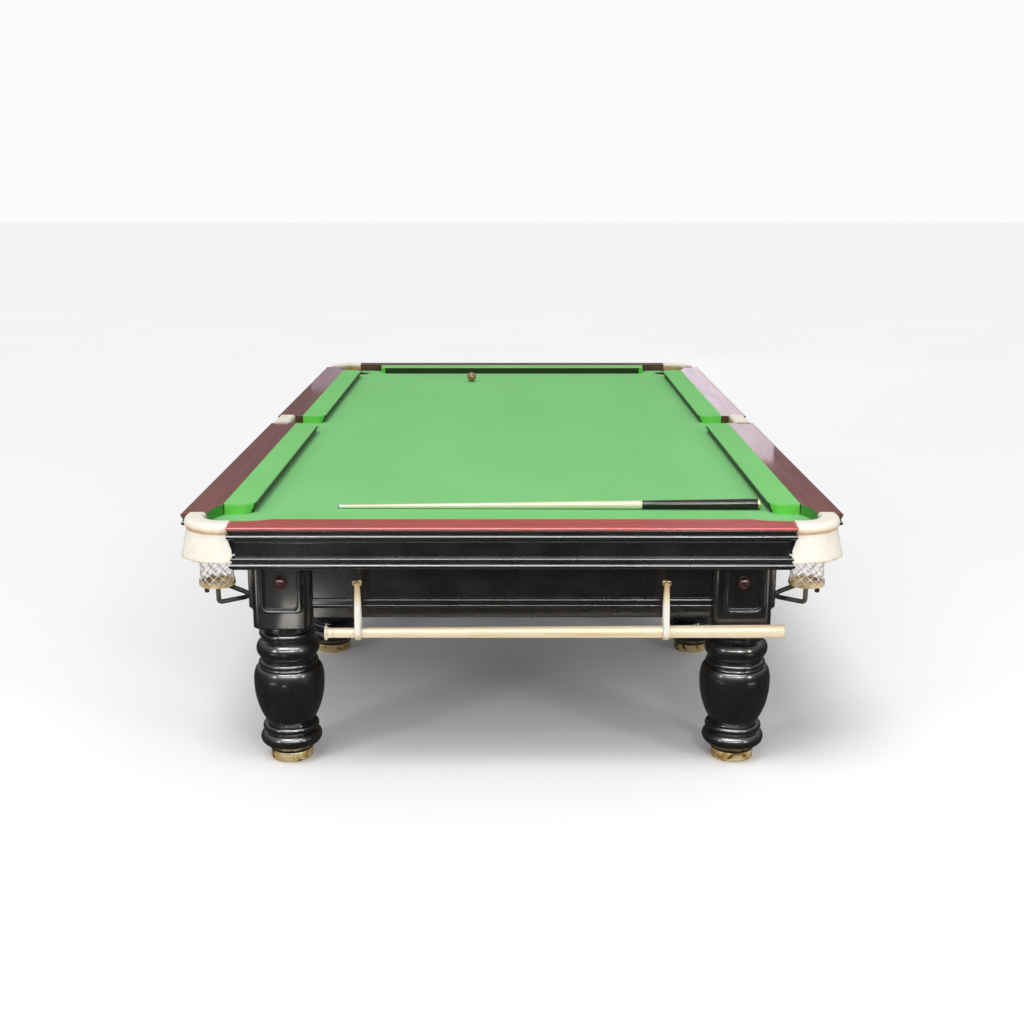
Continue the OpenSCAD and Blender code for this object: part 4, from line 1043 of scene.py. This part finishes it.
# Cue. An ash shaft with a white ferrule and a leather tip that chalk has turned blue, spliced into a
# black butt with a brass end. It lies on the cloth by the near cushion.
cue_ash = ash("cue_ash", (0.06, 1, 1), (0.93, 0.87, 0.7), (0.86, 0.78, 0.58), (0.7, 0.56, 0.34))
butt_black = new_finish("butt_black", (0.012, 0.011, 0.011), 0.12, Specular_IOR_Level=0.5)
tint(butt_black, surface_noise(butt_black, 50, (0.06, 1, 1), 5), (0.4, (0.006, 0.005, 0.005)),
     (0.75, (0.03, 0.022, 0.017)))
ferrule = new_finish("ferrule_white", (0.85, 0.84, 0.8), 0.35)
tip_hide = new_finish("tip_hide", (0.2, 0.3, 0.42), 0.8)
cue_l, butt_l, butt_r, tip_r = 1.482, 0.413, 0.019, 0.0065
splice_r = butt_r * 0.8
straight_l, brass_l, ferrule_l, tip_l = 0.036, 0.009, 0.03, 0.006
cue_gap, cue_in, cue_turn, play = 0.020, 0.399, -0.55, 0.0003
cue_outline = [(0, 0), (butt_r - 0.004, 0), (butt_r - 0.001, 0.002), (butt_r, 0.006), (butt_r, brass_l),
               (butt_r, 0.03), (butt_r * 0.995, straight_l)]
cue_outline += [(butt_r * (1 - 0.2 * i / 8), straight_l + (butt_l - straight_l) * i / 8) for i in range(1, 9)]
cue_outline += [(splice_r - 0.0002, butt_l + 0.0004), (splice_r, butt_l + 0.003)]
cue_outline += [(splice_r + (tip_r - splice_r) * i / 10, butt_l + (cue_l - ferrule_l - butt_l) * i / 10)
                for i in range(1, 11)]
cue_outline += [(tip_r, cue_l - 0.013), (tip_r, cue_l - 0.012), (tip_r, cue_l - tip_l),
                (tip_r - 0.0003, cue_l - 0.003), (tip_r - 0.002, cue_l - 0.0005), (0, cue_l)]
bm = turned(cue_outline, 32)
for f in bm.faces:
    z = f.calc_center_median().z
    f.material_index = (2 if 0.001 < z < brass_l else 1 if z < butt_l + 0.0005
                        else 0 if z < cue_l - ferrule_l - 0.001 else 3 if z < cue_l - tip_l - 0.0005 else 4)
lie = (Matrix.Translation((side_x - nose_in - cue_gap, cue_in - end_y, bed_z + butt_r + play))
       @ Matrix.Rotation(math.radians(cue_turn), 4, "Z")
       @ Matrix.Rotation(-math.radians(90) - math.asin((butt_r - tip_r) / cue_l), 4, "Y"))
bmesh.ops.transform(bm, verts=bm.verts, matrix=lie)
cue = new_piece("spliced_cue", bm, "cue", "cue_wood", cue_ash, butt_black, worn_brass, ferrule, tip_hide)
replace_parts(cue, "cue")

# Ball. Solid cast resin, tan brown, polished to a mirror gloss. It lies on the cloth near the far
# cushion.
ball_resin = new_finish("ball_resin", (0.36, 0.17, 0.07), 0.12, Coat_Weight=1.0, Coat_Roughness=0.02)
tint(ball_resin, surface_noise(ball_resin, 90), (0.3, (0.32, 0.15, 0.06)), (0.7, (0.42, 0.21, 0.09)))
ball_r, ball_x, ball_in = 0.02625, -0.232, 0.541
bm = bmesh.new()
bmesh.ops.create_uvsphere(bm, u_segments=48, v_segments=32, radius=ball_r,
                          matrix=Matrix.Translation((ball_x, end_y - ball_in, bed_z + ball_r + play)))
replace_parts(new_piece("polished_ball", bm, "ball", "ball_resin", ball_resin), "ball")


# Studio. A plain pale floor, a pale surround, a soft sun from above and a few soft panels, which show
# as highlights in the lacquer. The camera has the photograph's place and lens.
floor_finish = new_finish("pale_floor", (0.95, 0.95, 0.95), 0.9, Specular_IOR_Level=0.1,
                          Emission_Strength=0.06)
floor_finish.node_tree.nodes["Principled BSDF"].inputs["Emission Color"].default_value = (1, 1, 1, 1)
tint(floor_finish, surface_noise(floor_finish, 0.6), (0.3, 0.94), (0.7, 0.96))
bm = bmesh.new()
bmesh.ops.create_grid(bm, x_segments=1, y_segments=1, size=60)
mesh = bpy.data.meshes.new("studio_floor")
bm.to_mesh(mesh)
bm.free()
mesh.materials.append(floor_finish)
floor = bpy.data.objects.new("studio_floor", mesh)
bpy.context.scene.collection.objects.link(floor)
floor.visible_glossy = False

world = bpy.data.worlds.new("surround")
bpy.context.scene.world = world
world.use_nodes = True
direction = add_node(world, "TexCoord").outputs["Generated"]
rise = add_node(world, "SeparateXYZ", ("Vector", direction)).outputs["Z"]
sky = ramp(world, rise, (0.0, 0.05), (0.3, 0.2), (0.6, 0.55), (1.0, 0.65))
seen = add_node(world, "LightPath").outputs["Is Camera Ray"]
colour_a, colour_b, colour_out = 6, 7, 2
choose = add_node(world, "Mix", ("Factor", seen), data_type="RGBA")
world.node_tree.links.new(sky, choose.inputs[colour_a])
choose.inputs[colour_b].default_value = (0.96, 0.96, 0.96, 1)
background = world.node_tree.nodes["Background"]
world.node_tree.links.new(choose.outputs[colour_out], background.inputs["Color"])
background.inputs["Strength"].default_value = 1.0


def soft_panel(name, place, aim, width, height, power, colour=(1, 1, 1), gloss_only=False):
    light = bpy.data.lights.new(name, "AREA")
    light.shape = "RECTANGLE"
    light.size, light.size_y = width, height
    light.energy = power
    light.color = colour
    lamp = bpy.data.objects.new(name, light)
    lamp.location = place
    lamp.rotation_euler = (Vector(aim) - Vector(place)).to_track_quat("-Z", "Y").to_euler()
    lamp.visible_camera = False
    lamp.visible_diffuse = not gloss_only
    bpy.context.scene.collection.objects.link(lamp)


sun = bpy.data.lights.new("soft_sun", "SUN")
sun.energy = 1.3
sun.angle = math.radians(30)
sun_lamp = bpy.data.objects.new("soft_sun", sun)
sun_lamp.rotation_euler = (math.radians(14), math.radians(-10), 0)
bpy.context.scene.collection.objects.link(sun_lamp)
soft_panel("window_back_right", (2.4, 9.0, 2.25), (1.05, 0, 0.86), 1.25, 1.3, 5.6, (0.94, 0.89, 1.0))
soft_panel("window_back_left", (-2.05, 9.0, 1.82), (-1.05, 1.5, 0.86), 0.5, 0.55, 0.3, (0.9, 0.82, 1.0))
soft_panel("window_front_right", (3.4, -4.6, 2.2), (0.7, -1.8, 0.5), 0.6, 1.2, 28)
soft_panel("window_front_mid", (1.2, -5.8, 3.0), (0.3, -1.8, 0.5), 0.6, 0.8, 26)
soft_panel("window_front_left", (-3.4, -4.6, 2.2), (-0.8, -1.8, 0.5), 0.6, 1.2, 28)
soft_panel("strip_front_low", (0, -5.6, 2.6), (0, -2.0, 0.8), 5.0, 0.4, 85, gloss_only=True)
soft_panel("strip_front_high", (0, -3.9, 3.9), (0, -2.0, 0.8), 5.0, 0.4, 150, gloss_only=True)
soft_panel("glow_low_left", (-0.96, -3.47, 0.02), (-0.96, -3.47, 1.0), 0.18, 0.4, 1.6, (1, 0.95, 0.9), True)
soft_panel("glow_side_left", (-2.4, -3.6, 0.02), (-2.4, -3.6, 1.0), 0.8, 1.2, 9, (1, 0.97, 0.94), True)
soft_panel("glow_side_right", (2.4, -3.6, 0.02), (2.4, -3.6, 1.0), 0.8, 1.2, 7, (1, 0.97, 0.94), True)

lens = bpy.data.cameras.new("photo_camera")
lens.lens = 46.62
lens.sensor_width = 36
camera = bpy.data.objects.new("photo_camera", lens)
camera.location = (0, -6.123, 1.9374)
camera.rotation_euler = (math.radians(90 - 13.975), 0, 0)
bpy.context.scene.collection.objects.link(camera)
bpy.context.scene.camera = camera
bpy.context.scene.view_settings.view_transform = "Standard"
